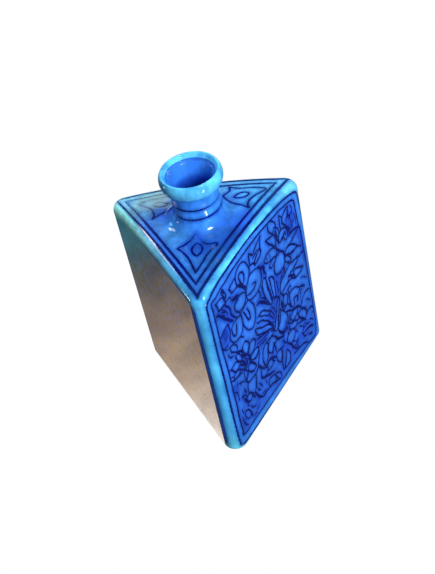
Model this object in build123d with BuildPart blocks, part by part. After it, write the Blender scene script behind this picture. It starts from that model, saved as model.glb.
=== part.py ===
from build123d import *
import os
from math import atan2, radians, sqrt, tan

# Three-sided ceramic bottle, built from clay slabs, coils and a thrown neck.
# Millimetres and degrees. The origin is on the neck axis in the plane that the foot stands on,
# +Z is up and the front corner points to -Y.

# Body
foot_side = 110.2           # side of the triangular foot, measured to its sharp corners
corner_radius = 7.0         # rounding of the upright corners at the foot
lean = 0.47                 # inward lean of the walls, degrees
wall_thickness = 6.0        # slab walls
base_thickness = 7.0        # slab under the walls
foot_radius = 2.5           # rounding under the edge of the foot

# Shoulder
shoulder_crown = 120.6      # height of the dome on the neck axis
dome_radius = 307.0         # radius of the dome
shoulder_thickness = 6.5    # slab on top of the walls
rim_radius = 5.0            # rounding of the shoulder's edge

# Neck, with rises measured from the crown of the shoulder
bore_radius = 9.0           # straight bore through shoulder and neck
neck_foot_radius = 12.4     # outside of the neck where it stands on the shoulder
neck_waist_radius = 11.9    # narrowest place of the neck
neck_head_radius = 13.2     # outside of the neck under the lip
neck_foot_rise = 6.0        # top of the straight foot
neck_waist_rise = 13.0      # narrowest place
bore_rise = 15.5            # top of the straight bore, where the mouth starts to flare
neck_rise = 25.4            # top of the neck
mouth_radius = 11.65        # flared mouth at the neck's top
neck_head_length = 6.0      # straight length under the neck's top, which the lip grips
neck_seat_depth = 0.6       # recess in the shoulder that the neck stands in
neck_seat_gap = 0.1         # slip between the neck and the wall of its recess

# Lip, an upright roll whose inner side carries on the flare of the mouth
lip_thickness = 6.1         # thickness of the roll
lip_length = 9.8            # height of the roll
lip_inset = 0.3             # middle of the roll, inside the neck's outer face
lip_drop = 0.1              # middle of the roll, below the neck's top
lip_edge_radius = 0.9       # rounding where the flare meets the top of the roll

# Coils pressed into the joints
corner_coil_radius = 7.0    # upright coils in the inner corners
base_coil_radius = 5.0      # coils along the inner foot of the walls
neck_coil_radius = 7.0      # hollow curve round the foot of the neck
coil_edge = 0.4             # thickness that a smoothed coil keeps at its edges

fillet_margin = 0.3         # least flat left beside a rounding

# Worked out from the sizes above
foot_inradius = foot_side / (2 * sqrt(3))
lean_slope = tan(radians(lean))
inner_foot_inradius = foot_inradius - wall_thickness
top_corner_radius = corner_radius - shoulder_crown * lean_slope
dome_center = shoulder_crown - dome_radius
neck_top = shoulder_crown + neck_rise
lip_radius = neck_head_radius - lip_inset
blank_height = shoulder_crown + fillet_margin
reach = 2 * foot_side

# Directions in plan: three corners a third of a turn apart, and a wall after each of them
sides = 3
turn = 360 / sides
front_angle = 270
corner_angles = {name: front_angle + turn * i for i, name in enumerate(("front", "right", "left"))}
wall_normals = {name: front_angle + turn * (i + 0.5) for i, name in enumerate(("right", "back", "left"))}


def dome_height(radius):
    return dome_center + sqrt(dome_radius**2 - radius**2)


def outer_blank(z_low, z_high):
    # Leaning three-sided block with rounded corners, between two heights
    inset = z_low * lean_slope
    with BuildSketch(Plane.XY.offset(z_low)) as outline:
        RegularPolygon(foot_inradius - inset, sides, major_radius=False, rotation=front_angle)
        fillet(outline.vertices(), corner_radius - inset)
    extrude(outline.sketch, amount=z_high - z_low, taper=lean)


def inner_blank(z_low, z_high, mode):
    # Leaning three-sided block that fills the hollow, with the sharp corners of the mitres
    inset = z_low * lean_slope
    with BuildSketch(Plane.XY.offset(z_low)) as outline:
        RegularPolygon(inner_foot_inradius - inset, sides, major_radius=False, rotation=front_angle)
    extrude(outline.sketch, amount=z_high - z_low, taper=lean, mode=mode)


def keep_third(normal_angle):
    # The third of the plan that faces one way, cut at the mitres
    with BuildSketch() as third:
        with BuildLine():
            Polyline(
                (0, 0),
                Vector(reach, 0).rotate(Axis.Z, normal_angle - turn / 2),
                Vector(2 * reach, 0).rotate(Axis.Z, normal_angle),
                Vector(reach, 0).rotate(Axis.Z, normal_angle + turn / 2),
                close=True,
            )
        make_face()
    extrude(third.sketch, amount=blank_height, mode=Mode.INTERSECT)


def dome_block(drop, mode):
    # Ball whose top is the dome, lowered by a slab's thickness for the joint under the shoulder
    with Locations((0, 0, dome_center - drop)):
        Sphere(dome_radius, mode=mode)


os.makedirs("parts", exist_ok=True)


# Base slab
with BuildPart() as base_slab:
    outer_blank(0, base_thickness)
    fillet(base_slab.faces().sort_by(Axis.Z)[0].edges(), foot_radius)
base_slab.part.label = "base_slab"
export_step(base_slab.part, "parts/base_slab.step")


# Slab walls, mitred at the corners and trimmed to the underside of the shoulder
for name, normal_angle in wall_normals.items():
    with BuildPart() as wall:
        outer_blank(base_thickness, blank_height)
        inner_blank(base_thickness, blank_height, Mode.SUBTRACT)
        keep_third(normal_angle)
        dome_block(shoulder_thickness, Mode.INTERSECT)
    wall.part.label = f"wall_{name}"
    export_step(wall.part, f"parts/wall_{name}.step")


# Upright coils in the inner corners, from the base coils to the shoulder. Each is a round sector
# between two walls, drawn out along the leaning corner line.
coil_foot = base_thickness + base_coil_radius
corner_reach = 2 * (inner_foot_inradius - coil_foot * lean_slope)
corner_opening = 180 - turn
for name, corner_angle in corner_angles.items():
    corner_foot = Vector(corner_reach, 0).rotate(Axis.Z, corner_angle)
    corner_line = Vector(-2 * lean_slope, 0, 1).rotate(Axis.Z, corner_angle)
    with BuildPart() as corner_coil:
        with BuildSketch(Plane.XY.offset(coil_foot)):
            with BuildLine():
                face_arc = CenterArc(
                    corner_foot, corner_coil_radius, corner_angle + 180 - corner_opening / 2, corner_opening
                )
                Polyline(face_arc @ 1, corner_foot, face_arc @ 0)
            make_face()
        extrude(amount=blank_height * corner_line.length, dir=corner_line)
        dome_block(shoulder_thickness, Mode.INTERSECT)
    corner_coil.part.label = f"corner_coil_{name}"
    export_step(corner_coil.part, f"parts/corner_coil_{name}.step")


# Coils along the inner foot of the walls, mitred where they meet
foot_line = inner_foot_inradius - base_thickness * lean_slope
coils = []
for name, normal_angle in wall_normals.items():
    wall_plane = Plane(
        origin=Vector(foot_line, 0, base_thickness).rotate(Axis.Z, normal_angle),
        x_dir=Vector(1, 0, 0).rotate(Axis.Z, normal_angle),
        z_dir=Vector(0, 1, 0).rotate(Axis.Z, normal_angle),
    )
    with BuildPart() as base_coil:
        inner_blank(base_thickness, base_thickness + 2 * base_coil_radius, Mode.ADD)
        keep_third(normal_angle)
        with BuildSketch(wall_plane):
            Circle(base_coil_radius)
        extrude(amount=foot_side, both=True, mode=Mode.INTERSECT)
    coils.append(base_coil.part)
base_coils = Compound(label="base_coils", children=coils)
export_step(base_coils, "parts/base_coils.step")


# Domed shoulder slab, with a rounded rim and a recess that the neck stands in
neck_seat = dome_height(neck_foot_radius) - neck_seat_depth
rim_limit = min(top_corner_radius, shoulder_thickness) - fillet_margin
with BuildPart() as shoulder_slab:
    outer_blank(0, blank_height)
    dome_block(0, Mode.INTERSECT)
    fillet(shoulder_slab.faces().filter_by(GeomType.SPHERE).edges(), min(rim_radius, rim_limit))
    dome_block(shoulder_thickness, Mode.SUBTRACT)
    with Locations((0, 0, neck_seat)):
        Cylinder(
            neck_foot_radius + neck_seat_gap,
            shoulder_thickness,
            align=(Align.CENTER, Align.CENTER, Align.MIN),
            mode=Mode.SUBTRACT,
        )
    Cylinder(bore_radius, 2 * blank_height, mode=Mode.SUBTRACT)
shoulder_slab.part.label = "shoulder_slab"
export_step(shoulder_slab.part, "parts/shoulder_slab.step")


# Neck collar, turned: straight foot, slight waist, head under the lip, flared mouth
foot_top = shoulder_crown + neck_foot_rise
waist = shoulder_crown + neck_waist_rise
bore_top = shoulder_crown + bore_rise
head_foot = neck_top - neck_head_length
with BuildPart() as neck_collar:
    with BuildSketch(Plane.XZ):
        with BuildLine():
            Polyline(
                (bore_radius, bore_top),
                (bore_radius, neck_seat),
                (neck_foot_radius, neck_seat),
                (neck_foot_radius, foot_top),
            )
            ThreePointArc(
                (neck_foot_radius, foot_top),
                (neck_waist_radius, waist),
                (neck_head_radius, head_foot),
            )
            Polyline(
                (neck_head_radius, head_foot),
                (neck_head_radius, neck_top),
                (mouth_radius, neck_top),
            )
            TangentArc((bore_radius, bore_top), (mouth_radius, neck_top), tangent=(0, 1))
        make_face()
    revolve(axis=Axis.Z)
neck_collar.part.label = "neck_collar"
export_step(neck_collar.part, "parts/neck_collar.step")


# Coil smoothed round the foot of the neck, with a hollow face
hollow_radius = neck_foot_radius + coil_edge + neck_coil_radius
hollow_height = dome_height(hollow_radius) + coil_edge + neck_coil_radius
with BuildPart() as neck_coil:
    with BuildSketch(Plane.XZ):
        with BuildLine():
            Polyline(
                (neck_foot_radius + coil_edge, hollow_height),
                (neck_foot_radius, hollow_height),
                (neck_foot_radius, neck_seat),
                (hollow_radius, neck_seat),
                (hollow_radius, hollow_height - neck_coil_radius),
            )
            RadiusArc(
                (hollow_radius, hollow_height - neck_coil_radius),
                (neck_foot_radius + coil_edge, hollow_height),
                neck_coil_radius,
            )
        make_face()
    revolve(axis=Axis.Z)
    dome_block(0, Mode.SUBTRACT)
neck_coil.part.label = "neck_coil"
export_step(neck_coil.part, "parts/neck_coil.step")


# Rolled lip, which wraps the head of the neck, stands on its top and carries on its flare. The arc
# of the mouth starts upright, so it ends at twice the slope of its chord.
flare = 2 * atan2(mouth_radius - bore_radius, neck_top - bore_top)
flare_top = mouth_radius + lip_length * tan(flare)
with BuildPart() as lip_ring:
    with BuildSketch(Plane.XZ) as roll:
        with Locations((lip_radius, neck_top - lip_drop)):
            Ellipse(lip_thickness / 2, lip_length / 2)
        with Locations((neck_head_radius, neck_top)):
            Rectangle(lip_length, lip_length, align=(Align.MAX, Align.MAX), mode=Mode.SUBTRACT)
        with BuildLine():
            Polyline(
                (mouth_radius, neck_top),
                (flare_top, neck_top + lip_length),
                (0, neck_top + lip_length),
                (0, neck_top),
                close=True,
            )
        make_face(mode=Mode.SUBTRACT)
        fillet(roll.vertices().sort_by(Axis.Y)[-1], lip_edge_radius)
    revolve(axis=Axis.Z)
lip_ring.part.label = "lip_ring"
export_step(lip_ring.part, "parts/lip_ring.step")
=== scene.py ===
import math
import bpy
import numpy as np
from mathutils import Matrix, Vector


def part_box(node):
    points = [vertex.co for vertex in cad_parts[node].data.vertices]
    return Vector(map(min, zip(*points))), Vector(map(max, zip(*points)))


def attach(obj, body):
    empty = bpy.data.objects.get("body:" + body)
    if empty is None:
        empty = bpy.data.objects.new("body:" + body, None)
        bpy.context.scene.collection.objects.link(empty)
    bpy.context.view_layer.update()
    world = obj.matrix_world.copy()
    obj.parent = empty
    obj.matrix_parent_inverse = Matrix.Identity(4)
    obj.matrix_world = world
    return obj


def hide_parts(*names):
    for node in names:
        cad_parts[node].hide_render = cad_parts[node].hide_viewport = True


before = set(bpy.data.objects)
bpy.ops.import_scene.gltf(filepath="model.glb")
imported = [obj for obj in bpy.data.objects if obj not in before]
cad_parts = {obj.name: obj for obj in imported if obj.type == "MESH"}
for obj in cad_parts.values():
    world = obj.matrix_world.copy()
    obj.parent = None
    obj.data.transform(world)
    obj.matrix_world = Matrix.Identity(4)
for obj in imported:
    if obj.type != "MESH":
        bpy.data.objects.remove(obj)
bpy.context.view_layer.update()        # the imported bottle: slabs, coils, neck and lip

mm = 0.001
scene = bpy.context.scene
scene.view_settings.view_transform = "Standard"


# Node helpers

def addNode(tree, kind, settings=None, values=None):
    node = tree.nodes.new(kind)
    for key, value in (settings or {}).items():
        setattr(node, key, value)
    for key, value in (values or {}).items():
        if isinstance(value, bpy.types.NodeSocket):
            tree.links.new(value, node.inputs[key])
        else:
            node.inputs[key].default_value = value
    return node


def mathNode(tree, operation, *values):
    return addNode(tree, "ShaderNodeMath", {"operation": operation}, dict(enumerate(values))).outputs[0]


def dotNode(tree, vector, aim):
    node = addNode(tree, "ShaderNodeVectorMath", {"operation": "DOT_PRODUCT"}, {0: vector, 1: aim})
    return node.outputs["Value"]


def rangeNode(tree, value, fromLow, fromHigh, toLow, toHigh, smooth=False):
    kind = "SMOOTHSTEP" if smooth else "LINEAR"
    values = {"Value": value, "From Min": fromLow, "From Max": fromHigh, "To Min": toLow, "To Max": toHigh}
    return addNode(tree, "ShaderNodeMapRange", {"interpolation_type": kind}, values).outputs[0]


def noiseNode(tree, vector, scale, detail):
    values = {"Vector": vector, "Scale": scale, "Detail": detail}
    return addNode(tree, "ShaderNodeTexNoise", values=values).outputs[0]


def greyNode(tree, value):
    return addNode(tree, "ShaderNodeCombineColor", values={0: value, 1: value, 2: value}).outputs[0]


def mixColour(tree, share, first, second, blend="MIX"):
    node = addNode(tree, "ShaderNodeMix", {"data_type": "RGBA", "blend_type": blend})
    for place, value in (("Factor_Float", share), ("A_Color", first), ("B_Color", second)):
        socket = next(s for s in node.inputs if s.identifier == place)
        if isinstance(value, bpy.types.NodeSocket):
            tree.links.new(value, socket)
        else:
            socket.default_value = value
    return next(s for s in node.outputs if s.identifier == "Result_Color")


def newTree(name, sockets):
    tree = bpy.data.node_groups.new(name, "GeometryNodeTree")
    tree.interface.new_socket("Geometry", in_out="INPUT", socket_type="NodeSocketGeometry")
    tree.interface.new_socket("Geometry", in_out="OUTPUT", socket_type="NodeSocketGeometry")
    for label, kind, value in sockets:
        socket = tree.interface.new_socket(label, in_out="INPUT", socket_type="NodeSocket" + kind)
        if value is not None:
            socket.default_value = value
    return tree, addNode(tree, "NodeGroupInput").outputs


def endTree(tree, geometry, material):
    whole = addNode(tree, "GeometryNodeRealizeInstances", values={"Geometry": geometry}).outputs[0]
    done = addNode(tree, "GeometryNodeSetMaterial", values={"Geometry": whole, "Material": material})
    addNode(tree, "NodeGroupOutput", values={"Geometry": done.outputs[0]})


def useTree(piece, tree, values):
    modifier = piece.modifiers.new(tree.name, "NODES")
    modifier.node_group = tree
    for socket in tree.interface.items_tree:
        if socket.in_out == "INPUT" and socket.name in values:
            modifier[socket.identifier] = values[socket.name]


def settle(piece):
    graph = bpy.context.evaluated_depsgraph_get()
    ready = piece.evaluated_get(graph)
    mesh = bpy.data.meshes.new_from_object(ready, preserve_all_data_layers=True, depsgraph=graph)
    piece.modifiers.clear()
    piece.data = mesh
    mesh.name = piece.name


def readField(mesh, name):
    values = np.zeros(len(mesh.vertices), np.float32)
    mesh.attributes[name].data.foreach_get("value", values)
    return values


def writeField(mesh, name, values):
    values = np.asarray(values, np.float32)
    kind = "FLOAT" if values.ndim == 1 else "FLOAT_VECTOR"
    field = mesh.attributes.new(name, kind, "POINT")
    field.data.foreach_set("value" if values.ndim == 1 else "vector", values.ravel())


def linkPiece(name, data):
    piece = bpy.data.objects.new(name, data)
    scene.collection.objects.link(piece)
    return piece


def makeMesh(name, points, faces, flatFrom=None):
    mesh = bpy.data.meshes.new(name)
    mesh.from_pydata((np.asarray(points) * mm).tolist(), [], faces)
    smooth = np.ones(len(mesh.polygons), bool)
    if flatFrom is not None:
        smooth[flatFrom:] = False        # cut faces of the joints
    mesh.polygons.foreach_set("use_smooth", smooth)
    return mesh


# Shape of the slab body, millimetres

body = {
    "inradius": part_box("base_slab")[1].y / mm,   # neck axis to a wall, at the foot
    "cornerRadius": 7.0,
    "lean": math.tan(math.radians(0.47)),
    "crown": 120.6,                              # height of the dome on the axis
    "domeRadius": 307.0,
    "rimRadius": 5.0,
    "footRadius": 2.5,
    "wall": 6.0,
    "floor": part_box("base_slab")[1].z / mm,
    "shoulder": 6.5,
    "seamRadius": 19.23,                         # where the shoulder runs into the neck
    "seamGuard": 0.995,                          # narrow last row of the dome beside that seam
    "cornerPaint": 0.5,                          # the painting is bent round the corners this much tighter
    "flatCells": 240,
    "cornerCells": 16,
    "footCells": 6,
    "uprightCells": 296,
    "rimCells": 10,
    "domeCells": 60,
    "underCells": 12,                            # rows under the shoulder
    "coarse": 8,                                 # outside cells to one inside cell
}
wallAngles = {"right": -30.0, "back": 90.0, "left": 210.0}
core = body["inradius"] - body["cornerRadius"]
coreHalf = math.sqrt(3) * core
guard = 0.5                                      # narrow last cell beside a joint, degrees


def withHeight(plan, height):
    return np.concatenate([plan, height[..., None]], -1)


def domeHeight(plan):
    radius = body["domeRadius"]
    return body["crown"] - radius + np.sqrt(radius ** 2 - plan[..., 0] ** 2 - plan[..., 1] ** 2)


def wallAxes(angle):
    normal = np.array([math.cos(math.radians(angle)), math.sin(math.radians(angle))])
    return normal, np.array([-normal[1], normal[0]])


def planPoint(angle, share, turn, offset):
    normal, along = wallAxes(angle)
    out = core + offset * np.cos(turn)
    across = share * coreHalf + offset * np.sin(turn)
    return out[..., None] * normal + across[..., None] * along


def bentRow(joint, far, cells):
    # angles from a joint to the far end of a rounding, as a column
    step = guard if far > joint else -guard
    return np.radians(np.concatenate([[joint], np.linspace(joint + step, far, cells)]))[:, None]


def wallColumns():
    bend = bentRow(60.0, 0.0, body["cornerCells"])[:, 0]
    flat = np.linspace(-1.0, 1.0, body["flatCells"] + 1)[1:-1]
    share = np.concatenate([np.full(len(bend), -1.0), flat, np.full(len(bend), 1.0)])
    turn = np.concatenate([-bend, np.zeros(len(flat)), bend[::-1]])
    return share[None, :], turn[None, :]


def rimStart(angle, share, turn):
    guess = body["cornerRadius"] - body["lean"] * body["crown"]
    edge = planPoint(angle, share, turn, guess + 0.0 * share)
    return domeHeight(edge) - body["rimRadius"]


def rimPoints(angle, share, turn, phi):
    start = rimStart(angle, share, turn)
    radius = body["rimRadius"]
    offset = body["cornerRadius"] - body["lean"] * start - radius * (1 - np.cos(phi))
    plan = planPoint(angle, share, turn, offset)
    return withHeight(plan, domeHeight(plan) - radius * (1 - np.sin(phi))), start + radius * phi


def footPoints(angle, share, turn, phi):
    radius = body["footRadius"]
    height = radius + radius * np.sin(phi) + 0.0 * share
    offset = body["cornerRadius"] - body["lean"] * height - radius * (1 - np.cos(phi))
    return withHeight(planPoint(angle, share, turn, offset), height), radius + radius * phi + 0.0 * share


def uprightPoints(angle, share, turn, climb):
    start = rimStart(angle, share, turn)
    height = body["footRadius"] + climb * (start - body["footRadius"])
    plan = planPoint(angle, share, turn, body["cornerRadius"] - body["lean"] * height)
    return withHeight(plan, height), height


def liftPoints(angle, turn, phi):
    turn, phi = turn + 0.0 * phi, phi + 0.0 * turn
    still = 0.0 * turn
    direction = planPoint(angle, still, turn, 1.0 + still) - planPoint(angle, still, turn, still)
    return withHeight(direction * np.cos(phi)[..., None], np.sin(phi))


def wallInside(angle):
    columns = (body["flatCells"] + 2 * body["cornerCells"]) // body["coarse"]
    rows = (body["footCells"] + body["uprightCells"] + body["rimCells"]) // body["coarse"]
    across = np.linspace(-1.0, 1.0, columns + 1)[None, :]
    climb = np.linspace(0.0, 1.0, rows + 1)[:, None]
    normal, along = wallAxes(angle)

    def insidePlan(height):
        depth = body["cornerRadius"] - body["lean"] * height - body["wall"]
        half = coreHalf + depth * math.sqrt(3)
        return (core + depth + 0.0 * across)[..., None] * normal + (across * half)[..., None] * along

    top = domeHeight(insidePlan(body["crown"])) - body["shoulder"]
    height = body["floor"] + climb * (top - body["floor"])
    return withHeight(insidePlan(height), height)


def gridFaces(first, rows, columns, flip=False, ring=False):
    faces = []
    wide = columns if ring else columns + 1
    for r in range(rows):
        for c in range(columns):
            d = (c + 1) % columns if ring else c + 1
            a, b = first + r * wide + c, first + r * wide + d
            e, f = first + (r + 1) * wide + d, first + (r + 1) * wide + c
            faces.append((a, f, e, b) if flip else (a, b, e, f))
    return faces


def stripFaces(fine, coarse):
    # one face from each coarse edge to the fine edges beside it
    faces = []
    step = body["coarse"]
    for k in range(len(coarse) - 1):
        chain = fine[k * step:k * step + step + 1]
        faces.append(tuple(chain[::-1]) + (coarse[k], coarse[k + 1]))
    return faces


def ringFrom(first, count):
    return list(range(first, first + count)) + [first]


# Brush trees: distance from the painted strokes, and whether a point lies in a filled outline

brush = {
    "step": 0.12,            # between the dots of a stroke
    "endWidth": 0.6,         # share of the width left at the ends of an open line
    "soft": 0.5,             # edge of a fill
    "plainWidth": 0.5,       # of an outline that is filled or turned, where it does not count
}


def tracedCurve(tree, source):
    drawn = addNode(tree, "GeometryNodeObjectInfo", values={"Object": source}).outputs["Geometry"]
    curve = addNode(tree, "GeometryNodeCurveSplineType", {"spline_type": "CATMULL_ROM"}, {"Curve": drawn})
    return curve.outputs[0]


def storeNode(tree, inputs, value):
    kind = {"data_type": "FLOAT", "domain": "POINT"}
    values = {"Geometry": inputs["Geometry"], "Name": inputs["Attribute"], "Value": value}
    return addNode(tree, "GeometryNodeStoreNamedAttribute", kind, values).outputs[0]


def makeBrushTree():
    tree, inputs = newTree("brushStrokes", [
        ("Strokes", "Object", None),
        ("Step", "Float", brush["step"] * mm),
        ("Attribute", "String", "ink"),
        ("Material", "Material", None),
    ])
    values = {"Curve": tracedCurve(tree, inputs["Strokes"]), "Length": inputs["Step"]}
    dots = addNode(tree, "GeometryNodeCurveToPoints", {"mode": "LENGTH"}, values).outputs["Points"]
    nearest = addNode(tree, "GeometryNodeSampleNearest", values={"Geometry": dots}).outputs[0]
    place = addNode(tree, "GeometryNodeInputPosition").outputs[0]
    width = addNode(tree, "GeometryNodeInputRadius").outputs[0]

    def atNearest(kind, value):
        values = {"Geometry": dots, "Value": value, "Index": nearest}
        return addNode(tree, "GeometryNodeSampleIndex", {"data_type": kind}, values).outputs[0]

    spot, half = atNearest("FLOAT_VECTOR", place), atNearest("FLOAT", width)
    gap = addNode(tree, "ShaderNodeVectorMath", {"operation": "DISTANCE"}, {0: place, 1: spot})
    edge = mathNode(tree, "DIVIDE", mathNode(tree, "SUBTRACT", gap.outputs["Value"], half), mm)
    endTree(tree, storeNode(tree, inputs, edge), inputs["Material"])
    return tree


def makeFillTree():
    tree, inputs = newTree("brushFill", [
        ("Outline", "Object", None),
        ("Soft", "Float", brush["soft"] * mm),
        ("Attribute", "String", "petal"),
        ("Material", "Material", None),
    ])
    count = addNode(tree, "GeometryNodeInputIndex").outputs[0]
    values = {"Curve": tracedCurve(tree, inputs["Outline"]), "Group ID": count}
    filled = addNode(tree, "GeometryNodeFillCurve", {"mode": "TRIANGLES"}, values).outputs[0]
    near = addNode(tree, "GeometryNodeProximity", {"target_element": "FACES"}, {"Target": filled})
    share = rangeNode(tree, near.outputs["Distance"], 0.0, inputs["Soft"], 1.0, 0.0)
    endTree(tree, storeNode(tree, inputs, share), inputs["Material"])
    return tree


# Hand tree: the slight unevenness of hand-worked clay, along each point's own outward direction

hand = {
    "depth": 0.16,           # swell of a slab, each way
    "flatDepth": 0.004,      # of the left wall, which mirrors the table
    "footDepth": 0.08,
    "wheelDepth": 0.09,      # of the turned neck and lip
    "press": 0.012,          # brush lines pressed into the skin
    "pressEdge": 0.3,
    "size": 45.0,
    "seed": 3.7,
}


def makeHandTree():
    tree, inputs = newTree("handWork", [
        ("Depth", "Float", hand["depth"] * mm),
        ("Size", "Float", hand["size"]),
        ("Press", "Float", hand["press"] * mm),
        ("Material", "Material", None),
    ])
    values = {"Scale": inputs["Size"], "Detail": 2.0, "W": hand["seed"]}
    noise = addNode(tree, "ShaderNodeTexNoise", {"noise_dimensions": "4D"}, values).outputs[0]
    swell = mathNode(tree, "MULTIPLY", mathNode(tree, "SUBTRACT", noise, 0.5), inputs["Depth"])
    swell = mathNode(tree, "MULTIPLY", swell, 2.0)

    def field(kind, name):
        node = addNode(tree, "GeometryNodeInputNamedAttribute", {"data_type": kind}, {"Name": name})
        return node.outputs[0]

    inLine = rangeNode(tree, field("FLOAT", "ink"), -hand["pressEdge"], hand["pressEdge"], 1.0, 0.0)
    height = mathNode(tree, "SUBTRACT", swell, mathNode(tree, "MULTIPLY", inLine, inputs["Press"]))
    values = {0: field("FLOAT_VECTOR", "lift"), "Scale": height}
    move = addNode(tree, "ShaderNodeVectorMath", {"operation": "SCALE"}, values).outputs[0]
    values = {"Geometry": inputs["Geometry"], "Offset": move}
    endTree(tree, addNode(tree, "GeometryNodeSetPosition", values=values).outputs[0], inputs["Material"])
    return tree


# Wheel tree: turns a closed profile round the neck axis

def makeWheelTree():
    tree, inputs = newTree("turnedOnWheel", [
        ("Profile", "Object", None),
        ("Around", "Int", 256),
        ("Along", "Int", 240),
        ("Material", "Material", None),
    ])
    drawn = addNode(tree, "GeometryNodeObjectInfo", values={"Object": inputs["Profile"]}).outputs["Geometry"]
    grid = addNode(tree, "GeometryNodeMeshGrid", values={
        "Size X": 1.0, "Size Y": 1.0,
        "Vertices X": mathNode(tree, "ADD", inputs["Around"], 1.0),
        "Vertices Y": mathNode(tree, "ADD", inputs["Along"], 1.0),
    }).outputs[0]
    place = addNode(tree, "GeometryNodeInputPosition").outputs[0]
    split = addNode(tree, "ShaderNodeSeparateXYZ", values={0: place})
    angle = mathNode(tree, "MULTIPLY", mathNode(tree, "ADD", split.outputs["X"], 0.5), math.tau)
    share = mathNode(tree, "ADD", split.outputs["Y"], 0.5)
    settings = {"mode": "FACTOR", "use_all_curves": True}
    spot = addNode(tree, "GeometryNodeSampleCurve", settings, {"Curves": drawn, "Factor": share})
    outline = addNode(tree, "ShaderNodeSeparateXYZ", values={0: spot.outputs["Position"]})
    turned = addNode(tree, "ShaderNodeCombineXYZ", values={
        "X": mathNode(tree, "MULTIPLY", outline.outputs["X"], mathNode(tree, "COSINE", angle)),
        "Y": mathNode(tree, "MULTIPLY", outline.outputs["X"], mathNode(tree, "SINE", angle)),
        "Z": outline.outputs["Z"],
    }).outputs[0]
    shaped = addNode(tree, "GeometryNodeSetPosition", values={"Geometry": grid, "Position": turned})
    values = {"Geometry": shaped.outputs[0], "Distance": 0.005 * mm}
    closed = addNode(tree, "GeometryNodeMergeByDistance", values=values).outputs[0]
    soft = addNode(tree, "GeometryNodeSetShadeSmooth", values={"Geometry": closed}).outputs[0]
    endTree(tree, soft, inputs["Material"])
    return tree


brushTree = makeBrushTree()
fillTree = makeFillTree()
handTree = makeHandTree()
wheelTree = makeWheelTree()


def drawCurve(name, lines):
    # each line is (points, half width, closed); the brush thins towards the ends of an open line
    curve = bpy.data.curves.new(name, "CURVE")
    curve.dimensions = "3D"
    curve.resolution_u = 10
    for points, half, closed in lines:
        spline = curve.splines.new("POLY")
        spline.points.add(len(points) - 1)
        spline.use_cyclic_u = closed
        for i, point in enumerate(points):
            height = point[2] if len(point) > 2 else 0.0
            spline.points[i].co = (point[0] * mm, point[1] * mm, height * mm, 1.0)
            end = not closed and i in (0, len(points) - 1)
            spline.points[i].radius = half * mm * (brush["endWidth"] if end else 1.0)
    return linkPiece(name, curve)


def dropHelpers(*helpers):
    for helper in helpers:
        bpy.data.objects.remove(helper)


def paintSheet(points, faces, strokes, fills):
    # paint in the flat, then read each point's paint back as plain numbers
    flat = np.asarray(points) * np.array([1.0, 1.0, 0.0])
    sheet = linkPiece("paintSheet", makeMesh("paintSheet", flat, faces))
    pen = drawCurve("penStrokes", strokes)
    helpers = [sheet, pen]
    useTree(sheet, brushTree, {"Strokes": pen, "Attribute": "ink"})
    for name, (outlines, soft) in fills.items():
        wash = drawCurve("wash_" + name, [(outline, brush["plainWidth"], True) for outline in outlines])
        helpers.append(wash)
        useTree(sheet, fillTree, {"Outline": wash, "Soft": soft * mm, "Attribute": name})
    settle(sheet)
    paint = {name: readField(sheet.data, name) for name in ["ink", *fills]}
    dropHelpers(*helpers)
    return paint


# Painted flower panel of a wall: millimetres along and up the wall

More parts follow.
